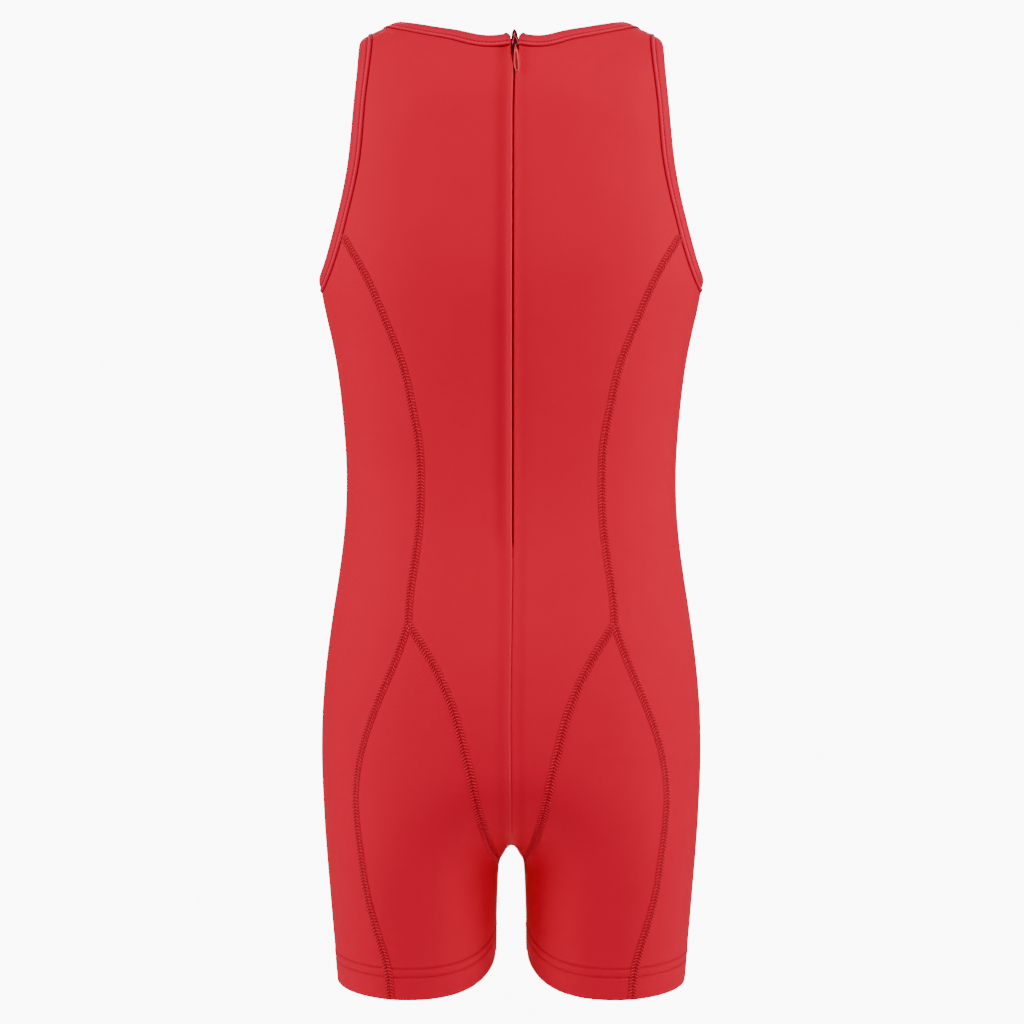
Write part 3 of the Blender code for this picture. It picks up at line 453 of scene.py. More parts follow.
def panelGrids(line):
    c = cloth
    arm, neck, crotch, hem = line["armhole"], line["neck"], line["crotch"], line["hem"]
    half = len(arm) // 2
    armBack = evenly(stretch(arm[:half], line["armShoulder"], line["backNotch"]), c["armholeCells"])
    armUnder = evenly(stretch(arm, line["backNotch"], line["frontNotch"]), c["sideColumns"])
    armFront = evenly(stretch(arm[half:], arm[-1], line["frontNotch"]), c["armholeCells"])
    armFront[0] = armBack[0]
    princess = evenly(line["princess"], c["princessCells"])
    outer = toHem(line["outer"], c["innerCells"] + c["inseamCells"])
    inner, inseam = evenly(line["inner"], c["innerCells"]), toHem(line["inseam"], c["inseamCells"])
    frontSide = toHem(line["frontSide"], c["princessCells"] + c["innerCells"] + c["inseamCells"])
    shoulder = np.stack([line["neckShoulder"], armBack[0]])
    neckBack = evenly(stretch(neck, neck[0], line["neckShoulder"]), c["backColumns"] - c["shoulderCells"])
    neckFront = evenly(stretch(neck, line["neckShoulder"], neck[-1]), c["frontNeckCells"])
    crotchFine = evenly(crotch, c["backColumns"])
    crotchFine[0] = line["backCentre"][-1]
    back = patch(
        joined(armBack, princess, inner),
        centreCells(line["backCentre"], line["backNotch"], outer[0], c["armholeCells"], c["innerCells"]),
        c["backColumns"],
        top=joined(neckBack, evenly(shoulder, c["shoulderCells"]))[::-1],
        bottom=crotchFine[::-1],
        topReach=90 * mm,
        bottomReach=30 * mm,
    )
    gap, under = c["seamGap"] / 2, -c["underBinding"]
    banded, sewn = slice(0, c["armholeCells"] + 1), slice(c["armholeCells"] + 1, None)
    back = moved(moved(moved(back, "left", under, banded), "left", gap, sewn), "bottom", gap)
    back[0, c["shoulderCells"] :] = moved(back, "top", under)[0, c["shoulderCells"] :]
    back = finerAtZip(back)
    side = patch(
        joined(princess, outer),
        frontSide,
        c["sideColumns"],
        top=armUnder,
        bottom=evenly(stretch(hem, line["backHem"], line["frontHem"]), c["sideColumns"]),
        topReach=60 * mm,
    )
    side = moved(moved(moved(side, "left", gap), "right", gap), "top", under)
    leg = patch(
        outer,
        joined(inner, inseam),
        c["legColumns"],
        bottom=evenly(stretch(hem, line["backHem"], hem[-1])[:-1], c["legColumns"]),
    )
    leg = moved(moved(leg, "left", gap), "right", gap)
    leg[0] = outer[0] + unit(leg[1, c["legColumns"] // 2] - outer[0]) * gap
    start = c["frontNeckCells"]
    highCells, lowCells = c["armholeCells"] - start, c["innerCells"] - c["crotchCells"]
    middle = centreCells(line["frontCentre"], line["frontNotch"], outer[0], highCells, lowCells)
    end = start + len(middle) - 1
    front = patch(
        joined(armFront, frontSide),
        joined(neckFront, middle, crotch, inseam),
        c["frontColumns"],
        top=evenly(shoulder[::-1], c["frontColumns"]),
        bottom=evenly(stretch(hem, line["frontHem"], line["innerHem"]), c["frontColumns"]),
        topReach=20 * mm,
    )
    front = moved(moved(front, "left", under, banded), "left", gap, sewn)
    front = moved(moved(front, "right", under, slice(0, start + 1)), "right", gap, slice(end, None))
    front[start : end + 1, -1, 0] = 0
    ring = joined(armBack, armUnder, armFront[::-1])
    return {"back": back, "side": side, "leg": leg, "front": front}, ring, joined(neckBack, neckFront)


def leaned(points):  # moved aside with the zip line, as it hangs
    points = np.array(points, float)
    x, y, z = points.T
    near = hill(x, 0, cut["leanReach"]) * smoothStep(y, *cut["leanFrom"])
    points[:, 0] = x + tableAt(cut["zipLean"], z) * near
    return points


def hemRise(places):  # height above the edge of the leg
    x, y, z = places.T
    return z - hemEdge(np.degrees(np.arctan2(np.abs(y), np.abs(x) - legMiddle(z))))


relief = {
    "hemLines": (20.9 * mm, 15.2 * mm),  # above the leg's edge
    "hemGroove": 0.4 * mm,
    "hemGrooveWidth": 0.9 * mm,
    "hemPuff": 0.35 * mm,
    "hemPuffTop": (24 * mm, 20 * mm),
    "hemReach": 40 * mm,
    "zipRidge": 1.15 * mm,
    "zipRidgeAt": 1.6 * mm,
    "zipRidgeWidth": 1.7 * mm,
    "zipDip": 0.9 * mm,
    "zipDipAt": 8 * mm,
    "zipDipWidth": 4.5 * mm,
    "zipEnd": (-360 * mm, -330 * mm),
    "otherSide": 0.45,  # share of the ridge and dip on the zip's far side
    "plainSeam": 0.45,  # and along the seam below the zip
    "edgeRoll": 1.1 * mm,  # how deep the folded edges turn in
    "edgeRollWidth": 0.9 * mm,
    "plainRoll": 0.2,
    "crotchRise": 1.8 * mm,
    "crotchWidth": 6 * mm,
    "crotchFrom": (-525 * mm, -538 * mm),
    "backFrom": (-530 * mm, -480 * mm),  # the heights over which the folds beside the zip come in
    "tonesFrom": (-540 * mm, -530 * mm),
    "innerShare": 0.6,  # how much of all this the cloth's inner face follows
    "legSwell": 0.9 * mm,
    "legSwellAt": (8 * mm, -547.5 * mm),
    "legSwellSize": (3.5 * mm, 6 * mm),
    # painted shade and painted highlight along the hem's stitch grooves, beside the zip and beside the seam below it
    "hemPaintedShade": ((20.9, 0.6, 0.6), (15.2, 0.6, 0.5)),  # middle, half width, painted shade; below 0 a painted highlight
    "zipPaintedLight": ((1.25, 0.5, -1.0), (-1.25, 0.5, -0.3), (8.2, 3.9, 0.3), (-6.5, 3.0, 0.09)),
    "seamPaintedLight": ((-0.25, 0.4, 0.6), (0.75, 0.4, -0.8), (6.5, 2.8, 0.18), (-6.5, 2.8, 0.18)),
}


def clothRelief(places):  # how far sewing lifts or sinks the cloth
    r = relief
    rise = hemRise(places)
    lift = r["hemPuff"] * smoothStep(rise, *r["hemPuffTop"]) * (rise < r["hemReach"])
    for height in r["hemLines"]:
        lift = lift - r["hemGroove"] * hill(rise, height, r["hemGrooveWidth"])
    x, y, z = places.T
    wide = np.abs(x)
    back = (y > 0) * smoothStep(z, *r["backFrom"])
    zipped = smoothStep(z, *r["zipEnd"])
    strength = np.where(x > 0, 1.0, r["otherSide"]) * (r["plainSeam"] + (1 - r["plainSeam"]) * zipped)
    ridge = r["zipRidge"] * hill(wide, r["zipRidgeAt"], r["zipRidgeWidth"])
    lift = lift + back * strength * (ridge - r["zipDip"] * hill(wide, r["zipDipAt"], r["zipDipWidth"]))
    lift = lift - r["crotchRise"] * hill(x, 0, r["crotchWidth"]) * smoothStep(z, *r["crotchFrom"])
    (aside, height), (width, tall) = r["legSwellAt"], r["legSwellSize"]
    lift = lift + r["legSwell"] * hill(wide, aside, width) * hill(z, height, tall)
    roll = np.clip(1 - (wide - tableAt(cut["zipGap"], z)) / r["edgeRollWidth"], 0, 1)
    return lift - back * (r["plainRoll"] + (1 - r["plainRoll"]) * zipped) * r["edgeRoll"] * roll**2


def paintedLightAt(values, table):
    return sum(shade * hill(values, at * mm, wide * mm) for at, wide, shade in table)


def clothPaintedLight(places):  # painted shade above 0, where sewing pulls the cloth into shade; a painted highlight below 0, on a lit fold
    x, y, z = places.T
    back = (y > 0) * smoothStep(z, *relief["tonesFrom"])
    zipped = back * smoothStep(z, *relief["zipEnd"])
    beside = zipped * paintedLightAt(x, relief["zipPaintedLight"]) + (back - zipped) * paintedLightAt(x, relief["seamPaintedLight"])
    return paintedLightAt(hemRise(places), relief["hemPaintedShade"]) + beside


class Wire:  # a shader value that takes part in sums
    def __init__(self, finish, socket):
        self.finish, self.socket = finish, socket

    def math(self, operation, first, second):
        return self.finish.node("ShaderNodeMath", {"operation": operation}, {0: first, 1: second})

    def __add__(self, other):
        return self.math("ADD", self, other)

    def __mul__(self, other):
        return self.math("MULTIPLY", self, other)

    __radd__, __rmul__ = __add__, __mul__

    def __sub__(self, other):
        return self.math("SUBTRACT", self, other)

    def __rsub__(self, other):
        return self.math("SUBTRACT", other, self)

    def __truediv__(self, other):
        return self.math("DIVIDE", self, other)

    def __rtruediv__(self, other):
        return self.math("DIVIDE", other, self)


class Finish:  # one material
    def __init__(self, name, **fixed):
        self.material = bpy.data.materials.new(name)
        self.material.use_nodes = True
        self.tree = self.material.node_tree
        self.shader = self.tree.nodes["Principled BSDF"]
        for key, value in fixed.items():
            self.shader.inputs[key.replace("_", " ")].default_value = value

    def node(self, kind, settings=None, sockets=None, output=0):
        new = self.tree.nodes.new(kind)
        for key, value in (settings or {}).items():
            setattr(new, key, value)
        for key, value in (sockets or {}).items():
            if isinstance(value, Wire):
                self.tree.links.new(value.socket, new.inputs[key])
            else:
                new.inputs[key].default_value = value
        return Wire(self, new.outputs[output])

    def maths(self, operation, value):
        return self.node("ShaderNodeMath", {"operation": operation}, {0: value})

    def wave(self, value, length):
        return self.maths("SINE", value * (2 * math.pi / length))

    def clamp(self, value):
        return self.node("ShaderNodeClamp", None, {0: value})

    def noise(self, scale, detail, rough):
        sockets = {"Vector": self.node("ShaderNodeTexCoord", output=3), "Scale": scale}
        return self.node("ShaderNodeTexNoise", None, {**sockets, "Detail": detail, "Roughness": rough})

    def mix(self, share, first, second):
        return self.node("ShaderNodeMix", {"data_type": "RGBA"}, {0: share, 6: first, 7: second}, output=2)

    def place(self):  # across and along the cloth, in metres
        spot = self.node("ShaderNodeUVMap", {"uv_map": "cloth"})
        return [self.node("ShaderNodeSeparateXYZ", None, {0: spot}, output=i) for i in (0, 1)]

    def feed(self, **values):
        for key, value in values.items():
            self.tree.links.new(value.socket, self.shader.inputs[key.replace("_", " ")])

    def bumped(self, height, distance, strength):
        sockets = {"Height": height, "Distance": distance, "Strength": strength}
        self.feed(Normal=self.node("ShaderNodeBump", None, sockets))


knit = {
    "panel": ((0.86, 0.002, 0.034, 1), (0.96, 0.003, 0.046, 1), 0.6, 0.06),  # two reds, roughness, sheen
    "band": ((0.9, 0.003, 0.044, 1), (0.98, 0.008, 0.06, 1), 0.55, 0.05),
    # lit: the colour of painted highlights on folds and band lips; deep: the colour of painted shade in grooves,
    # slits and beside the zip
    "lit": (1.0, 0.03, 0.085, 1),
    "deep": (0.30, 0.0006, 0.006, 1),
    "sheenTint": (1.0, 0.12, 0.14, 1),
    "shineTint": (1.0, 0.3, 0.3, 1),
    "fuzz": (900.0, 3.0, 0.6),  # scale, detail, roughness
    "cloud": (26.0, 2.0, 0.5),
    "wale": 0.42 * mm,
    "course": 0.36 * mm,
    "sway": 1.6,  # how much the courses sway from wale to wale
    "relief": 0.05 * mm,
}


def knitFinish(name, red, bright, roughness, sheen):
    f = Finish(name, Sheen_Weight=sheen, Sheen_Roughness=0.45, Specular_IOR_Level=0.08)
    f.shader.inputs["Sheen Tint"].default_value = knit["sheenTint"]
    f.shader.inputs["Specular Tint"].default_value = knit["shineTint"]
    across, up = f.place()
    wales = f.wave(across, knit["wale"])
    sway = f.wave(across, knit["wale"] * 2) * knit["sway"]
    courses = f.maths("SINE", up * (2 * math.pi / knit["course"]) + sway)
    fuzz, soft = f.noise(*knit["fuzz"]), f.noise(*knit["cloud"])
    shade = f.clamp(fuzz * 0.5 + soft * 0.5)
    # the sewn attribute carries painted shade above 0, mixed towards deep, and a painted highlight below 0, mixed
    # towards lit
    sewn = f.node("ShaderNodeAttribute", {"attribute_name": "sewn"}, output=2)
    highlighted = f.mix(f.clamp(sewn * -0.9), f.mix(shade, red, bright), knit["lit"])
    f.feed(Base_Color=f.mix(f.clamp(sewn * 0.55), highlighted, knit["deep"]), Roughness=fuzz * 0.1 + (roughness - 0.05))
    f.bumped(wales * 0.1 + courses * 0.08 + fuzz * 0.8, knit["relief"], 0.6)
    return f.material


def flatlockFinish():
    f = Finish("flatlockThread", Roughness=0.6, Sheen_Weight=0.05, Sheen_Roughness=0.4, Specular_IOR_Level=0.1)
    across, up = f.place()
    aside = f.maths("ABSOLUTE", across)
    strands = f.wave(up + aside * 0.5, flatlock["strand"]) * 0.5 + 0.5
    off = (aside - flatlock["edgeAt"]) / flatlock["edgeWidth"]
    edges = f.maths("EXPONENT", off * off * -1.0)
    shade = f.clamp(edges * 0.5 + strands * 0.3)
    f.feed(Base_Color=f.mix(shade, *flatlock["reds"]))
    f.bumped(strands, flatlock["strandHigh"], 0.8)
    return f.material


def threadFinish(name, dark, light):
    f = Finish(name, Roughness=0.5, Sheen_Weight=0.1, Specular_IOR_Level=0.15)
    f.feed(Base_Color=f.mix(f.noise(2500.0, 1.0, 0.5), dark, light))
    return f.material


def tapeFinish():
    f = Finish("zipTape", Roughness=0.75, Specular_IOR_Level=0.18)
    across, up = f.place()
    twill = f.wave(across + up, zipper["twill"]) * 0.5 + 0.5
    f.feed(Base_Color=f.mix(twill, *zipper["reds"]))
    f.bumped(twill, zipper["twillHigh"], 0.6)
    return f.material


def paintFinish(name, first, second, metallic, coat=0.5, coatRoughness=0.12, shadedHollow=False):
    f = Finish(name, Metallic=metallic, Coat_Weight=coat, Coat_Roughness=coatRoughness)
    worn = f.noise(1400.0, 3.0, 0.6)
    share = f.clamp((worn - 0.35) * 2.2)
    if shadedHollow:  # the second colour, a painted shade, fills the hollow
        across, down = f.place()
        beside = f.clamp((0.44 - f.maths("ABSOLUTE", across)) * 12.0)
        share = beside * f.clamp((down - 0.2) * 9.0) * f.clamp((0.93 - down) * 20.0)
    f.feed(Base_Color=f.mix(share, first, second), Roughness=worn * 0.2 + 0.2)
    f.bumped(worn, 0.02 * mm, 0.4)
    return f.material


def pieceFrom(bm, name, material, body="suit", sharp=None):
    if sharp is not None:
        for face in bm.faces:
            face.smooth = True
    mesh = bpy.data.meshes.new(name)
    bm.to_mesh(mesh)
    bm.free()
    mesh.materials.append(material)
    if sharp is not None:
        mesh.set_sharp_from_angle(angle=math.radians(sharp))
    piece = bpy.data.objects.new(name, mesh)
    bpy.context.scene.collection.objects.link(piece)
    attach(piece, body)
    return piece


def gridUv(grid):  # across from the last column and down the rows
    across = np.linalg.norm(np.diff(grid, axis=1), axis=2).cumsum(axis=1)
    down = np.linalg.norm(np.diff(grid, axis=0), axis=2).cumsum(axis=0)
    across = np.pad(across, ((0, 0), (1, 0)))
    return np.stack([across - across[:, -1:], -np.pad(down, ((1, 0), (0, 0)))], axis=-1)


def addGrid(bm, layers, grid, uv, low, high):
    uvLayer, lowLayer, highLayer = layers
    verts = []
    for i, row in enumerate(grid):
        made = [bm.verts.new(point) for point in row]
        for j, vert in enumerate(made):
            vert[lowLayer], vert[highLayer] = low[i, j], high[i, j]
        verts.append(made)
    faces = []
    for i in range(len(grid) - 1):
        for j in range(grid.shape[1] - 1):
            corners = ((i, j), (i + 1, j), (i + 1, j + 1), (i, j + 1))
            face = bm.faces.new([verts[a][b] for a, b in corners])
            for loop, corner in zip(face.loops, corners):
                loop[uvLayer].uv = uv[corner]
            faces.append(face)
    bm.normal_update()
    middle = faces[len(faces) // 2]
    away = slope(np.array(middle.calc_center_median())[None])[0]
    if middle.normal.dot(Vector(away)) < 0:
        bmesh.ops.reverse_faces(bm, faces=faces)


def clothShell(name, grids, material, relieved=True):
    # grids: points on the form, with how far in and out the cloth's two faces lie
    bm = bmesh.new()
    sewn, lowLayer, highLayer = [bm.verts.layers.float.new(layer) for layer in ("sewn", "low", "high")]
    uvLayer = bm.loops.layers.uv.new("cloth")
    for grid, uv, low, high in grids:
        shape = grid.shape[:2]
        low, high = np.broadcast_to(low, shape), np.broadcast_to(high, shape)
        addGrid(bm, (uvLayer, lowLayer, highLayer), grid, uv, low, high)
    bmesh.ops.remove_doubles(bm, verts=bm.verts, dist=cloth["weld"])
    verts, outerFaces = list(bm.verts), list(bm.faces)
    rim = [edge for edge in bm.edges if edge.is_boundary]
    places = np.array([vert.co for vert in verts], float)
    away = outward(places)
    low, high = (np.array([vert[layer] for vert in verts]) for layer in (lowLayer, highLayer))
    lift = clothRelief(places) if relieved else 0 * low
    # the sewn attribute holds painted shade and painted highlight along the sewing
    for vert, value in zip(verts, clothPaintedLight(places)):
        vert[sewn] = value
    inner = leaned(places + away * (low + lift * relief["innerShare"])[:, None])
    outer = leaned(places + away * (high + lift)[:, None])
    twin = {vert: bm.verts.new(point) for vert, point in zip(verts, inner)}
    for vert, point in zip(verts, outer):
        vert.co = point
    for edge in rim:
        loop = edge.link_loops[0]
        start, end = loop.vert, loop.link_loop_next.vert
        uvs = [loop.link_loop_next[uvLayer].uv.copy(), loop[uvLayer].uv.copy()]
        face = bm.faces.new((end, start, twin[start], twin[end]))
        for corner, uv in zip(face.loops, uvs + uvs[::-1]):
            corner[uvLayer].uv = uv
    for face in outerFaces:
        uvs = {loop.vert: loop[uvLayer].uv.copy() for loop in face.loops}
        back = bm.faces.new([twin[vert] for vert in reversed(face.verts)])
        for loop, vert in zip(back.loops, reversed(face.verts)):
            loop[uvLayer].uv = uvs[vert]
    return pieceFrom(bm, name, material, sharp=50)


def flatSize(grid):  # widest, longest and flat area of a panel, for its cutting
    wide = np.linalg.norm(np.diff(grid, axis=1), axis=2).sum(1).max()
    long = np.linalg.norm(np.diff(grid, axis=0), axis=2).sum(0).max()
    a, b = grid[1:, :-1] - grid[:-1, 1:], grid[1:, 1:] - grid[:-1, :-1]
    area = np.linalg.norm(np.cross(a, b), axis=-1).sum() / 2
    return round(float(wide), 4), round(float(long), 4), round(float(area), 5)


def declare(shell, node, wide, long, area):  # a panel stands for its CAD node; its cut's sizes are printed
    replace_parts(shell, node)
    print(shell.name, wide, long, area)


def hemLow(grid):  # how far in the folded hem lies
    rise = hemRise(grid.reshape(-1, 3)).reshape(grid.shape[:2])
    share = smoothStep(rise, cloth["hemDepth"] + 1 * mm, cloth["hemDepth"])
    return -cloth["hemFold"] * share * (grid[..., 2] < cloth["legTop"])


print("seams")
line = seamLines()
grids, ring, neckLine = panelGrids(line)

print("panels")
panelKnit = knitFinish("panelKnit", *knit["panel"])
bindingKnit = knitFinish("bindingKnit", *knit["band"])
parts = {"back": "backPanel", "side": "sidePanel", "leg": "backLegPanel"}
nodes = {"back": "back", "side": "side", "leg": "back_leg"}
for side, turn in sides.items():
    for part, name in parts.items():
        grid = grids[part] * turn
        panel = (grid, gridUv(grid), hemLow(grid), cloth["wall"])
        shell = clothShell(name + side, [panel], panelKnit)
        declare(shell, f"{nodes[part]}_{side.lower()}", *flatSize(grid))
halves = [(g, gridUv(g), hemLow(g), cloth["wall"]) for g in (grids["front"], grids["front"] * mirror)]
shell = clothShell("frontPanel", halves, panelKnit)
wide, long, area = flatSize(grids["front"])
declare(shell, "front", 2 * wide, long, 2 * area)

print("bindings")
binding = {
    "outside": (  # across the band from the seam, height over the figure; below 0 across lies a thin flange on the cloth, there to carry a painted shadow line
        (0.4, 1.28), (-0.5, 1.42), (-1.15, 1.5), (-1.2, 1.58), (-0.6, 1.66), (-0.25, 1.85), (0.15, 2.25), (0.9, 2.35),
        (1.6, 2.15), (2.05, 1.7), (2.35, 1.55), (2.7, 1.7), (3.3, 2.0), (4.6, 2.25), (6.2, 2.25), (7.8, 2.0),
        (8.9, 1.42), (9.45, 0.75), (9.4, 0.1), (8.9, -0.32), (7.6, -0.42), (5.0, -0.4), (2.4, -0.4), (1.0, -0.38),
        (0.35, -0.3),
    ),
    "inside": (
        (0.25, 0.0), (1.2, 0.2), (3.4, 0.24), (6.4, 0.24), (8.2, 0.34), (8.7, 0.72), (8.3, 1.1), (6.4, 1.36),
        (4.4, 1.36), (3.0, 1.1), (2.4, 0.82), (1.8, 1.05), (1.1, 1.2),
    ),
    "cells": 84,
    "tones": (  # across, half width, painted shade; below 0 a painted highlight on the lip
        (-0.8, 0.55, 2.0), (0.9, 0.55, -1.1), (2.35, 0.45, 1.75), (5.6, 0.7, 0.25), (7.2, 0.6, 0.2),
    ),
    "shownFrom": 1.45 * mm,  # height over the figure of the face that shows
    "shownFall": (1.3, 12 * mm),  # and how it falls towards the opening
    "stitchAt": 2.35 * mm,
    "stitchHigh": 1.55 * mm,
    "smoothing": 12,
    "finer": 2,
    "cornerRows": 6,
}


def tubeFaces(bm, uvLayer, rings, around, run):  # skin over rings of points
    rings = [[bm.verts.new(point) for point in row] for row in rings]
    count = len(rings[0])
    for i in range(len(rings) - 1):
        for k in range(count):
            corners = ((i, k), (i, k + 1), (i + 1, k + 1), (i + 1, k))
            face = bm.faces.new([rings[a][b % count] for a, b in corners])
            face.smooth = True
            for loop, (a, b) in zip(face.loops, corners):
                loop[uvLayer].uv = around[b], run[a]
    return rings


def sectionPoints():  # the folded band's closed outline
    corners = np.array(binding["outside"] + binding["inside"], float) * mm
    corners = np.concatenate([corners[-3:], corners, corners[:4]])
    length = along(corners)
    return curvedAt(corners, np.linspace(length[3], length[-4], binding["cells"] + 1)[:-1])


def foldedBand(name, node, bands, closed=True):  # bands: the seam's line and the opening's line
    bm = bmesh.new()
    uvLayer, sewn = bm.loops.layers.uv.new("cloth"), bm.verts.layers.float.new("sewn")
    section = sectionPoints()
    around = along(np.concatenate([section, section[:1]]))
    across, high = section.T
    full, reach = binding["shownFall"]
    shown = high > binding["shownFrom"] * np.clip(full - across / reach, 0, 1)
    # painted shade and painted highlight across the band, on its shown face only, kept in the sewn attribute
    tones = paintedLightAt(across, binding["tones"]) * shown
    for seam, edge in bands:
        middle = settled((seam + edge) / 2)
        rings = []
        for off, rise in section:
            share = off / cloth["bindingWidth"]
            ends = seam * (1 - share) * (1 - 2 * share) + edge * share * (2 * share - 1)
            spot = settled(ends + middle * 4 * share * (1 - share))
            rings.append(leaned(spot + unit(slope(spot)) * rise))
        rows = tubeFaces(bm, uvLayer, np.stack(rings, axis=1), around, along(seam))
        for row in rows:
            for vert, tone in zip(row, tones):
                vert[sewn] = tone
        if not closed:
            bm.faces.new(rows[0])
    bmesh.ops.remove_doubles(bm, verts=bm.verts, dist=cloth["weld"])
    bmesh.ops.recalc_face_normals(bm, faces=bm.faces)
    shell = pieceFrom(bm, name, bindingKnit)
    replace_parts(shell, node)


def bandLines(seam, edgeLine, seamLine):  # the opening's edge beside each point of the seam
    length = along(edgeLine)
    where = np.unwrap(length[[nearest(seamLine, point) for point in seam]], period=length[-1])
    for _ in range(binding["smoothing"]):
        where[1:-1] = (where[:-2] + 2 * where[1:-1] + where[2:]) / 4
    if np.ptp(edgeLine[[0, -1]], axis=0).max() < 1e-6:  # a ring
        where = where % length[-1]
    return seam, cutAt(edgeLine, where)


def finerLine(line, closed=False):
    times, spare = binding["finer"], 8
    if closed:
        line = np.concatenate([line[-1 - spare : -1], line, line[1 : 1 + spare]])
    steps = np.arange((len(line) - 1) * times + 1) / times
    fine = settled(curvedAt(line, np.interp(steps, np.arange(len(line)), along(line))))
    return fine[spare * times : len(fine) - spare * times] if closed else fine


ring = finerLine(ring, closed=True)
ring[-1] = ring[0]
armBand = bandLines(ring, line["armholeEdge"], line["armhole"])
armBand[1][0] = armBand[1][-1] = line["armholeEdge"][0]
neckSeam = finerLine(neckLine)
neckSeam[-1, 0] = 0
atZip = cutAt(neckSeam, np.linspace(0, along(neckSeam)[1], binding["cornerRows"])[:-1])
neckBand = bandLines(np.concatenate([atZip, neckSeam[1:]]), line["neckEdge"], line["neck"])
neckBand[1][-1, 0] = 0
neckBand[1][: len(cut["neckCorner"])] = seenPoints(cut["neckCorner"], 1)
armBands = {side: (armBand[0] * turn, armBand[1] * turn) for side, turn in sides.items()}
neckBands = [neckBand, (neckBand[0] * mirror, neckBand[1] * mirror)]
for side, band in armBands.items():
    foldedBand("armholeBinding" + side, f"armhole_binding_{side.lower()}", [band])
foldedBand("neckBinding", "neck_binding", neckBands, closed=False)


def tubes(name, paths, radius, material, body="suit", around=6, closed=False):  # round wires along paths
    bm = bmesh.new()
    uvLayer = bm.loops.layers.uv.new("cloth")
    turns = np.linspace(0, 2 * math.pi, around + 1)
    for path in paths:
        path = np.array(path, float)
        ahead = unit(np.gradient(path, axis=0))
        if closed:
            ahead[0] = ahead[-1] = unit(path[1] - path[-2])
        side = np.cross(ahead[0], (0.31, 0.87, 0.38))  # a way that no wire here follows
        rings = []
        for point, way in zip(path, ahead):
            side = unit(side - way * side.dot(way))
            up = np.cross(way, side)
            rings.append([point + (side * math.cos(t) + up * math.sin(t)) * radius for t in turns[:-1]])
        rings = tubeFaces(bm, uvLayer, rings, turns * radius, along(path))
        if not closed:
            bm.faces.new(rings[0][::-1])
            bm.faces.new(rings[-1])
    bmesh.ops.recalc_face_normals(bm, faces=bm.faces)
    return pieceFrom(bm, name, material, body)


print("flat seams")
flatlock = {
    "width": 6.0 * mm,
    "cells": 12,
    "lift": 0.3 * mm,
    "sunk": 0.7 * mm,  # how deep the band reaches into the cloth
    "step": 2.2 * mm,
    "fineStep": 0.6 * mm,
    "pitch": 2.1 * mm,
    "near": 0.4 * mm,
    "far": 2.5 * mm,
    "slant": 1.2 * mm,
    "thick": 0.36 * mm,
    "high": 0.05 * mm,
    "droop": 0.1 * mm,
    "dip": 0.22 * mm,  # how far the ends of a thread go in
    "hollow": 0.25,  # halfway to its edges the band is lower by twice this share
    "strand": 0.7 * mm,
    "strandHigh": 0.2 * mm,
    "edgeAt": 2.6 * mm,  # where the lighter edges are
    "edgeWidth": 0.5 * mm,
    "reds": ((0.58, 0.0013, 0.018, 1), (0.86, 0.003, 0.036, 1)),
    "thread": ((0.92, 0.003, 0.04, 1), (1.0, 0.014, 0.075, 1)),
    # the hem's thread is darker than the other thread, as painted shade of its stitch grooves
    "shadedHemThread": ((0.40, 0.001, 0.01, 1), (0.62, 0.0015, 0.02, 1)),
}


def ladder(name, path, material):  # slanted threads in two columns along a flat seam
    f = flatlock
    path = evenly(path, int(along(path)[-1] / f["fineStep"]))
    across, away, reach = sideways(path), unit(slope(path)), along(path)
    high = cloth["wall"] + f["lift"] + clothRelief(path) + f["high"]
    where = (np.arange(int(reach[-1] / f["pitch"])) + 0.5) * f["pitch"]
    base = sampled(path + away * high[:, None], reach, where)
    ways = across, away, unit(np.gradient(path, axis=0))
    across, away, ahead = (unit(sampled(way, reach, where))[:, None] for way in ways)
    share = np.linspace(0, 1, 5)[:, None]
    bow = np.sin(np.pi * share) ** 0.5
    threads = []
    for side in (-1, 1):
        off = side * (f["near"] + (f["far"] - f["near"]) * share)
        fall = (bow - 1) * f["dip"] - (np.abs(off) / (f["width"] / 2)) ** 4 * f["droop"]
        spots = base[:, None] + across * off + ahead * f["slant"] * (share - 0.5) + away * fall
        threads += [leaned(spot) for spot in spots]
    tubes(name, threads, f["thick"], material, around=5)


def seamBand(name, path, material):  # a flat seam's thread band lying on the cloth
    path = evenly(path, max(8, int(along(path)[-1] / flatlock["step"])))
    path[1:-1] = settled(path[1:-1])
    across, half = sideways(path), flatlock["width"] / 2
    off = np.linspace(-half, half, flatlock["cells"] + 1)
    grid = np.stack([settled(path + across * aside) for aside in off], axis=1)
    uv = np.stack(np.broadcast_arrays(off, along(path)[:, None]), axis=-1)
    share = np.abs(off) / half
    dip = 1 - flatlock["hollow"] * (1 - np.cos(share * 2 * np.pi))
    high = cloth["wall"] + flatlock["lift"] * (1 - share**6) * dip
    clothShell(name, [(grid, uv, cloth["wall"] - flatlock["sunk"], high[None, :])], material)


flatlockThread = flatlockFinish()
thread = threadFinish("sewingThread", *flatlock["thread"])
shadedHemThread = threadFinish("shadedHemThread", *flatlock["shadedHemThread"])
seams = {
    "princessSeam": joined(line["princess"], line["outer"]),
    "frontSideSeam": line["frontSide"],
    "innerSeam": line["inner"],
}
for side, turn in sides.items():
    for name, path in seams.items():
        seamBand(name + side, path * turn, flatlockThread)
        ladder(name + "Thread" + side, path * turn, thread)
under = joined(line["inseam"][::-1], line["crotch"][::-1])
under = joined(under, (under * mirror)[::-1])
seamBand("inseamAndCrotch", under, flatlockThread)
ladder("inseamAndCrotchThread", under, thread)

print("thread")
sewing = {"long": 1.8 * mm, "pitch": 2.6 * mm, "first": 0.78 * mm, "thick": 0.17 * mm, "sunk": 0.24 * mm}


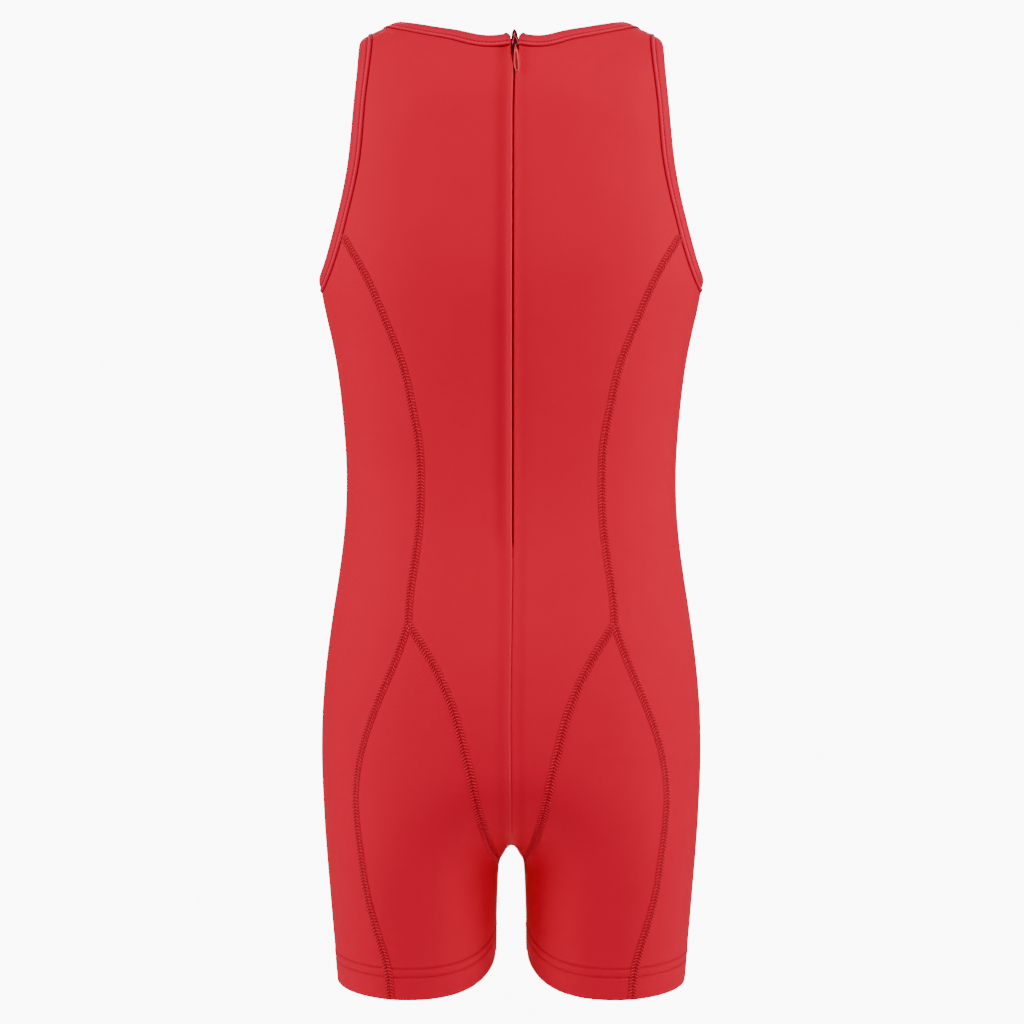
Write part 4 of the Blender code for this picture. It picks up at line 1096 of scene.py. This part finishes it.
def stitches(name, lines, material):  # short threads laid along lines on the figure
    out = []
    for path, high in lines:
        away = unit(slope(path))
        line = path + away * np.broadcast_to(high, len(path))[:, None]
        reach = along(line)
        share = np.linspace(0, 1, 6)
        lift = sewing["thick"] * 0.5 + (np.sin(np.pi * share) ** 0.6 - 1) * sewing["sunk"]
        for start in np.arange(sewing["first"], reach[-1] - sewing["long"], sewing["pitch"]):
            where = start + share * sewing["long"]
            out.append(leaned(sampled(line, reach, where) + sampled(away, reach, where) * lift[:, None]))
    tubes(name, out, sewing["thick"], material)


def bindingStitch(seam, edge):
    share = binding["stitchAt"] / cloth["bindingWidth"]
    return settled(seam * (1 - share) + edge * share), binding["stitchHigh"]


for side, turn in sides.items():
    rings = [hemRing(height) * turn for height in relief["hemLines"]]
    lines = [(path, cloth["wall"] + clothRelief(path)) for path in rings]
    stitches("hemStitches" + side, lines, shadedHemThread)
    stitches("armholeStitches" + side, [bindingStitch(*armBands[side])], thread)
stitches("neckStitches", [bindingStitch(*band) for band in neckBands], thread)

print("zip")
zipper = {
    # the tapes reach up into the opening above the slider, where their dark red stands in for shade
    "tapeTop": -11.2 * mm,
    "bend": -24.5 * mm,
    "straight": -33.5 * mm,
    "end": -352 * mm,
    "apart": ((-352, -0.15), (-24, -0.15), (-18, 0.2), (-11, 0.9)),  # height, half the space between the tapes
    "tapeEdge": 12 * mm,
    "tapeColumns": 7,
    "deep": (-1.7 * mm, -0.8 * mm),
    "coilPitch": 1.05 * mm,
    "coilHigh": -2.3 * mm,
    "coilDeep": 0.6 * mm,
    "coilWide": 1.5 * mm,
    "coilThick": 0.24 * mm,
    "coilFoot": 6 * mm,  # how far above the tapes' end the coil stops
    "twill": 0.7 * mm,
    "twillHigh": 0.08 * mm,
    # the tape's own red, darkened as painted shade for the slit and the opening above the slider
    "reds": ((0.30, 0.006, 0.012, 1), (0.46, 0.012, 0.02, 1)),
}
zipTape = tapeFinish()
curved = np.linspace(zipper["tapeTop"], zipper["bend"], 8)
heights = np.append(curved, np.linspace(zipper["straight"], zipper["end"], 60))
apart = tableAt(zipper["apart"], heights)
for side, turn in sides.items():
    shares = np.linspace(0, 1, zipper["tapeColumns"])
    xs = [turn[0] * (apart * (1 - share) + zipper["tapeEdge"] * share) for share in shares]
    grid = np.stack([shot(spotsAt(x, 0, heights), (0, 1, 0)) for x in xs], axis=1)
    shell = clothShell("zipTape" + side, [(grid, gridUv(grid), *zipper["deep"])], zipTape, relieved=False)
    declare(shell, f"zip_tape_{side.lower()}", *flatSize(grid))


def backLine(heights, high, aside=0.0):  # points over the centre back
    spots = shot(spotsAt(0, 0, heights), (0, 1, 0))
    spots = spots + unit(slope(spots)) * np.broadcast_to(high, heights.shape)[:, None]
    spots[:, 0] = aside
    return spots


turns = int((zipper["straight"] - zipper["end"]) / zipper["coilPitch"])
angle = np.linspace(0, turns * 2 * math.pi, turns * 10)
heights = np.linspace(zipper["straight"], zipper["end"] + zipper["coilFoot"], len(angle))
aside = zipper["coilWide"] * np.cos(angle) + tableAt(cut["zipLean"], heights)
coil = backLine(heights, zipper["coilHigh"] + zipper["coilDeep"] * np.sin(angle), aside)
tubes("zipCoil", [coil], zipper["coilThick"], zipTape, around=5)

slider = {
    "high": -17.6 * mm,
    "blocks": (  # width, depth, height, middle aside, out and up, rounding
        (3.5, 4.4, 7.8, 0, -0.1, 0, 0.7), (6.8, 1.5, 7.8, 0, -2.95, 0, 0.5),
        (4.6, 2.6, 7.0, -0.1, 0.6, 4.3, 0.9), (0.7, 1.0, 3.4, 0.1, 2.2, 8.2, 0.3),
        (0.6, 3.2, 2.0, -1.5, 2.9, -3.0, 0.22), (0.6, 3.2, 2.0, 1.5, 2.9, -3.0, 0.22),
    ),
    "pinOut": 3.5 * mm,
    "pinDown": 3.0 * mm,
    "pinThick": 0.34 * mm,
    "pinSpots": (-1.75, -0.6, 0.6, 1.75),
    "loop": (  # the dark loop over the slider: height, beside the middle, out
        ((-7.2, -2.1, 2.0), (-8.8, -1.55, 2.5), (-10.4, -1.15, 2.8), (-12.0, -1.0, 2.9), (-13.4, -1.6, 3.0)),
        ((-7.2, -2.1, 2.0), (-8.8, -2.7, 2.5), (-10.4, -3.2, 2.8), (-12.0, -3.4, 2.9), (-13.4, -3.0, 3.0)),
    ),
    "highlightWires": (  # light wires beside it, painted highlights along the loop's lower legs; the last one a painted highlight inside the loop
        (
            (-10.8, -2.3, 3.2), (-12.4, -2.25, 3.5), (-13.6, -2.8, 3.7), (-15.2, -3.7, 3.6), (-17.0, -4.3, 3.3),
            (-18.4, -4.5, 2.8),
        ),
        (
            (-9.6, -2.4, 3.1), (-11.6, -2.1, 3.4), (-13.2, -2.0, 3.6), (-15.0, -1.5, 3.5), (-16.8, -1.0, 3.2),
            (-18.0, -0.8, 2.6),
        ),
        ((-8.7, -2.3, 2.4), (-9.6, -2.5, 2.5), (-10.6, -2.5, 2.6), (-11.8, -2.4, 2.6)),
    ),
    "loopThick": 0.78 * mm,
    "highlightWireThick": 0.3 * mm,
    "wireRows": 26,
    "darkPaint": ((0.10, 0.002, 0.006, 1), (0.26, 0.006, 0.014, 1), 0.6),  # two colours, how metallic
    "tabPaint": ((0.72, 0.02, 0.05, 1), (0.95, 0.07, 0.10, 1), 0.25),
}
darkPaint, tabPaint = (paintFinish(name, *slider[name]) for name in ("darkPaint", "tabPaint"))


def placeAt(spot, out, up):
    return Matrix.Translation(spot) @ Matrix((Vector((1, 0, 0)), out, up)).transposed().to_4x4()


seat = shot((0, 0, slider["high"]), (0, 1, 0))
away = Vector(unit(slope(seat[None]))[0])
lean = Vector((float(tableAt(cut["zipLean"], slider["high"])), 0, 0))
sliderPlace = placeAt(Vector(seat) + lean, away, Vector((1, 0, 0)).cross(away).normalized())
bm = bmesh.new()
for sizes in slider["blocks"]:
    wide, deep, tall, x, y, z, rounding = (size * mm for size in sizes)
    made = bmesh.ops.create_cube(bm, size=1)["verts"]
    bmesh.ops.scale(bm, vec=(wide, deep, tall), verts=made)
    bmesh.ops.translate(bm, vec=(x, y, z), verts=made)
    edges = list({edge for vert in made for edge in vert.link_edges})
    bmesh.ops.bevel(bm, geom=edges, offset=rounding, segments=3, profile=0.6, affect="EDGES")
bmesh.ops.transform(bm, matrix=sliderPlace, verts=bm.verts)
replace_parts(pieceFrom(bm, "zipSlider", darkPaint, sharp=40), "zip_slider")
for name, thick, paint in (("loop", "loopThick", darkPaint), ("highlightWires", "highlightWireThick", tabPaint)):
    paths = []
    for table in slider[name]:
        rows = np.array(table, float) * mm
        heights, aside, high = curvedAt(rows, np.linspace(0, along(rows)[-1], slider["wireRows"])).T
        paths.append(backLine(heights, high, aside))
    tubes("slider" + name.title(), paths, slider[thick], paint, around=10)
pin = [sliderPlace @ Vector((x * mm, slider["pinOut"], -slider["pinDown"])) for x in slider["pinSpots"]]
tubes("sliderPin", [pin], slider["pinThick"], darkPaint, around=12)

tab = {
    "outline": (  # down from the pin, half width
        (0.9, 0.95), (1.6, 0.95), (3.0, 1.12), (5.0, 1.42), (7.5, 1.78), (10.0, 2.06), (12.0, 2.14), (14.0, 2.02),
        (16.0, 1.62), (17.4, 1.15), (18.2, 0.7), (18.5, 0.3),
    ),
    "outlineScale": (1.1, 0.92),
    "fineFrom": 17.5 * mm,
    "section": (  # across the half width, how far out
        (-1.0, 0.0), (-0.93, 0.34), (-0.78, 0.52), (-0.6, 0.42), (-0.44, 0.02), (-0.2, -0.04), (0.0, -0.05),
    ),
    "rim": ((0.9, 0.5), (3.0, 1.0)),  # down from the pin, how full the rim is
    "filled": ((2.0, 0.45), (4.5, 0.0), (18.2, 0.0), (19.6, 0.45)),  # and how far the hollow is filled
    "high": 0.1 * mm,
    "thick": 0.8 * mm,
    "lean": -0.05,  # it hangs a little aside
    "aside": -0.55 * mm,
    "tipDrop": 15.91 * mm,
    "tipHigh": 2.3 * mm,
    "eye": 0.828 * mm,
    "eyeThick": 0.36 * mm,
    "eyeDrop": 0.1 * mm,
    "rows": (24, 14),  # above and below the height where they get finer
    "curvedTo": 19 * mm,
    "leastHalf": 0.02 * mm,
    "hollowHalf": 0.5,
    "backRound": 0.6,
    "paint": ((0.99, 0.02, 0.07, 1), (0.42, 0.001, 0.006, 1), 0.1, 0.15, 0.2),  # two colours, the second a painted shade for the hollow, how metallic, and the coat, with its roughness
}
shadedHollow = paintFinish("tabPaintShadedHollow", *tab["paint"], shadedHollow=True)
pivot = sliderPlace @ Vector((tab["aside"], slider["pinOut"], -slider["pinDown"]))
tip = shot((0, 0, pivot.z - tab["tipDrop"]), (0, 1, 0))
tip = Vector(tip + unit(slope(tip[None]))[0] * tab["tipHigh"])
down = Vector((0, tip.y - pivot.y, tip.z - pivot.z)).normalized()
tabPlace = placeAt(pivot, Vector((1, 0, 0)).cross(down), -down)
rows = np.array(tab["outline"], float) * mm * tab["outlineScale"]
drop = np.linspace(rows[0, 0], tab["fineFrom"], tab["rows"][0])[:-1]
drop = np.append(drop, np.linspace(tab["fineFrom"], rows[-1, 0], tab["rows"][1]))
half = np.maximum(np.interp(drop, rows[:, 0], rows[:, 1]), tab["leastHalf"])
half = np.where(drop < tab["curvedTo"], curveThrough(rows[:, 0], rows[:, 1])(drop), half)
across, high = np.array(tab["section"] + tuple((-a, b) for a, b in tab["section"][-2::-1]), float).T
bm = bmesh.new()
uvLayer = bm.loops.layers.uv.new("cloth")
front, back = [], []
for fall, wide in zip(drop, half):
    rim, filled = (np.interp(fall / mm, *zip(*tab[key])) for key in ("rim", "filled"))
    raised = tab["high"] + (high + filled * (np.abs(across) < tab["hollowHalf"])) * rim * mm
    under = tab["high"] - tab["thick"] * (1 - across**4 * tab["backRound"])
    aside = across * wide + tab["lean"] * fall
    for sheet, out in ((front, raised), (back, under)):
        sheet.append([bm.verts.new((x, y, -fall)) for x, y in zip(aside, out)])
for sheet in (front, back):
    for i in range(len(sheet) - 1):
        for k in range(len(across) - 1):
            spots = ((i, k), (i, k + 1), (i + 1, k + 1), (i + 1, k))
            face = bm.faces.new([sheet[a][b] for a, b in spots])
            for loop, (a, b) in zip(face.loops, spots):
                loop[uvLayer].uv = across[b], drop[a] / drop[-1]
for k in (0, -1):
    for i in range(len(front) - 1):
        bm.faces.new((front[i][k], front[i + 1][k], back[i + 1][k], back[i][k]))
for i in (0, -1):
    bm.faces.new(front[i] + back[i][::-1])
bmesh.ops.recalc_face_normals(bm, faces=bm.faces)
bmesh.ops.transform(bm, matrix=tabPlace, verts=bm.verts)
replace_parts(pieceFrom(bm, "pullTab", shadedHollow, "pull_tab", sharp=60), "pull_tab")
angle = np.linspace(0, 2 * math.pi, 29)
eye = [tabPlace @ Vector((0, tab["eye"] * math.cos(a), tab["eye"] * math.sin(a) - tab["eyeDrop"])) for a in angle]
tubes("pullTabRing", [eye], tab["eyeThick"], tabPaint, "pull_tab", around=10, closed=True)

print("camera and light")
studio = {
    "cameraPlace": (-0.0005, 1.9, -0.322),
    "viewWide": 0.6912,
    "floorHigh": -0.95,
    "floorWide": 1.4,
    "shade": (0.9, 0.9, 0.9, 1),
    "backdrop": 10.0,  # how bright the paper behind looks
    "light": 0.18,  # how much light the room gives
    "lamps": {  # place, height it aims at, size, watts
        "softLeft": ((1.7, 0.55, 0.5), -0.3, (0.8, 1.3), 25),
        "softRight": ((-1.7, 0.55, 0.5), -0.3, (0.8, 1.3), 24),
        "softFront": ((-0.5, 1.6, 0.8), -0.2, (0.7, 0.7), 0.8),
        "softBehind": ((0, -1.8, 0.6), -0.3, (1.4, 1.4), 17),
    },
    "frontSpread": 44,  # degrees, so that it falls mostly on the back, and less on the legs
    "clip": (0.05, 30),
}
camera = bpy.data.objects.new("camera", bpy.data.cameras.new("camera"))
bpy.context.scene.collection.objects.link(camera)
camera.location = studio["cameraPlace"]
camera.rotation_euler = (math.pi / 2, 0, math.pi)
camera.data.sensor_width = 36
camera.data.lens = 36 * studio["cameraPlace"][1] / studio["viewWide"]
camera.data.clip_start, camera.data.clip_end = studio["clip"]
bpy.context.scene.camera = camera

floorPlace = (0, 0, studio["floorHigh"])
bpy.ops.mesh.primitive_circle_add(vertices=96, radius=studio["floorWide"], fill_type="NGON", location=floorPlace)
floor = bpy.context.object
floor.name = "floor"
floor.data.materials.append(Finish("paper", Roughness=0.9, Base_Color=studio["shade"]).material)
world = bpy.context.scene.world or bpy.data.worlds.new("studio")
bpy.context.scene.world = world
world.use_nodes = True
ground = world.node_tree.nodes["Background"]
ground.inputs["Color"].default_value = (1, 1, 1, 1)
seen = world.node_tree.nodes.new("ShaderNodeLightPath")
bright = world.node_tree.nodes.new("ShaderNodeMapRange")
bright.inputs["To Min"].default_value = studio["light"]
bright.inputs["To Max"].default_value = studio["backdrop"]
world.node_tree.links.new(seen.outputs["Is Camera Ray"], bright.inputs["Value"])
world.node_tree.links.new(bright.outputs["Result"], ground.inputs["Strength"])
for name, (place, aim, size, watts) in studio["lamps"].items():
    lamp = bpy.data.lights.new(name, "AREA")
    lamp.shape, lamp.size, lamp.size_y, lamp.energy = "RECTANGLE", size[0], size[1], watts
    if name == "softFront":
        lamp.spread = math.radians(studio["frontSpread"])
    thing = bpy.data.objects.new(name, lamp)
    bpy.context.scene.collection.objects.link(thing)
    thing.location = place
    thing.rotation_euler = (Vector((0, 0, aim)) - Vector(place)).to_track_quat("-Z", "Y").to_euler()
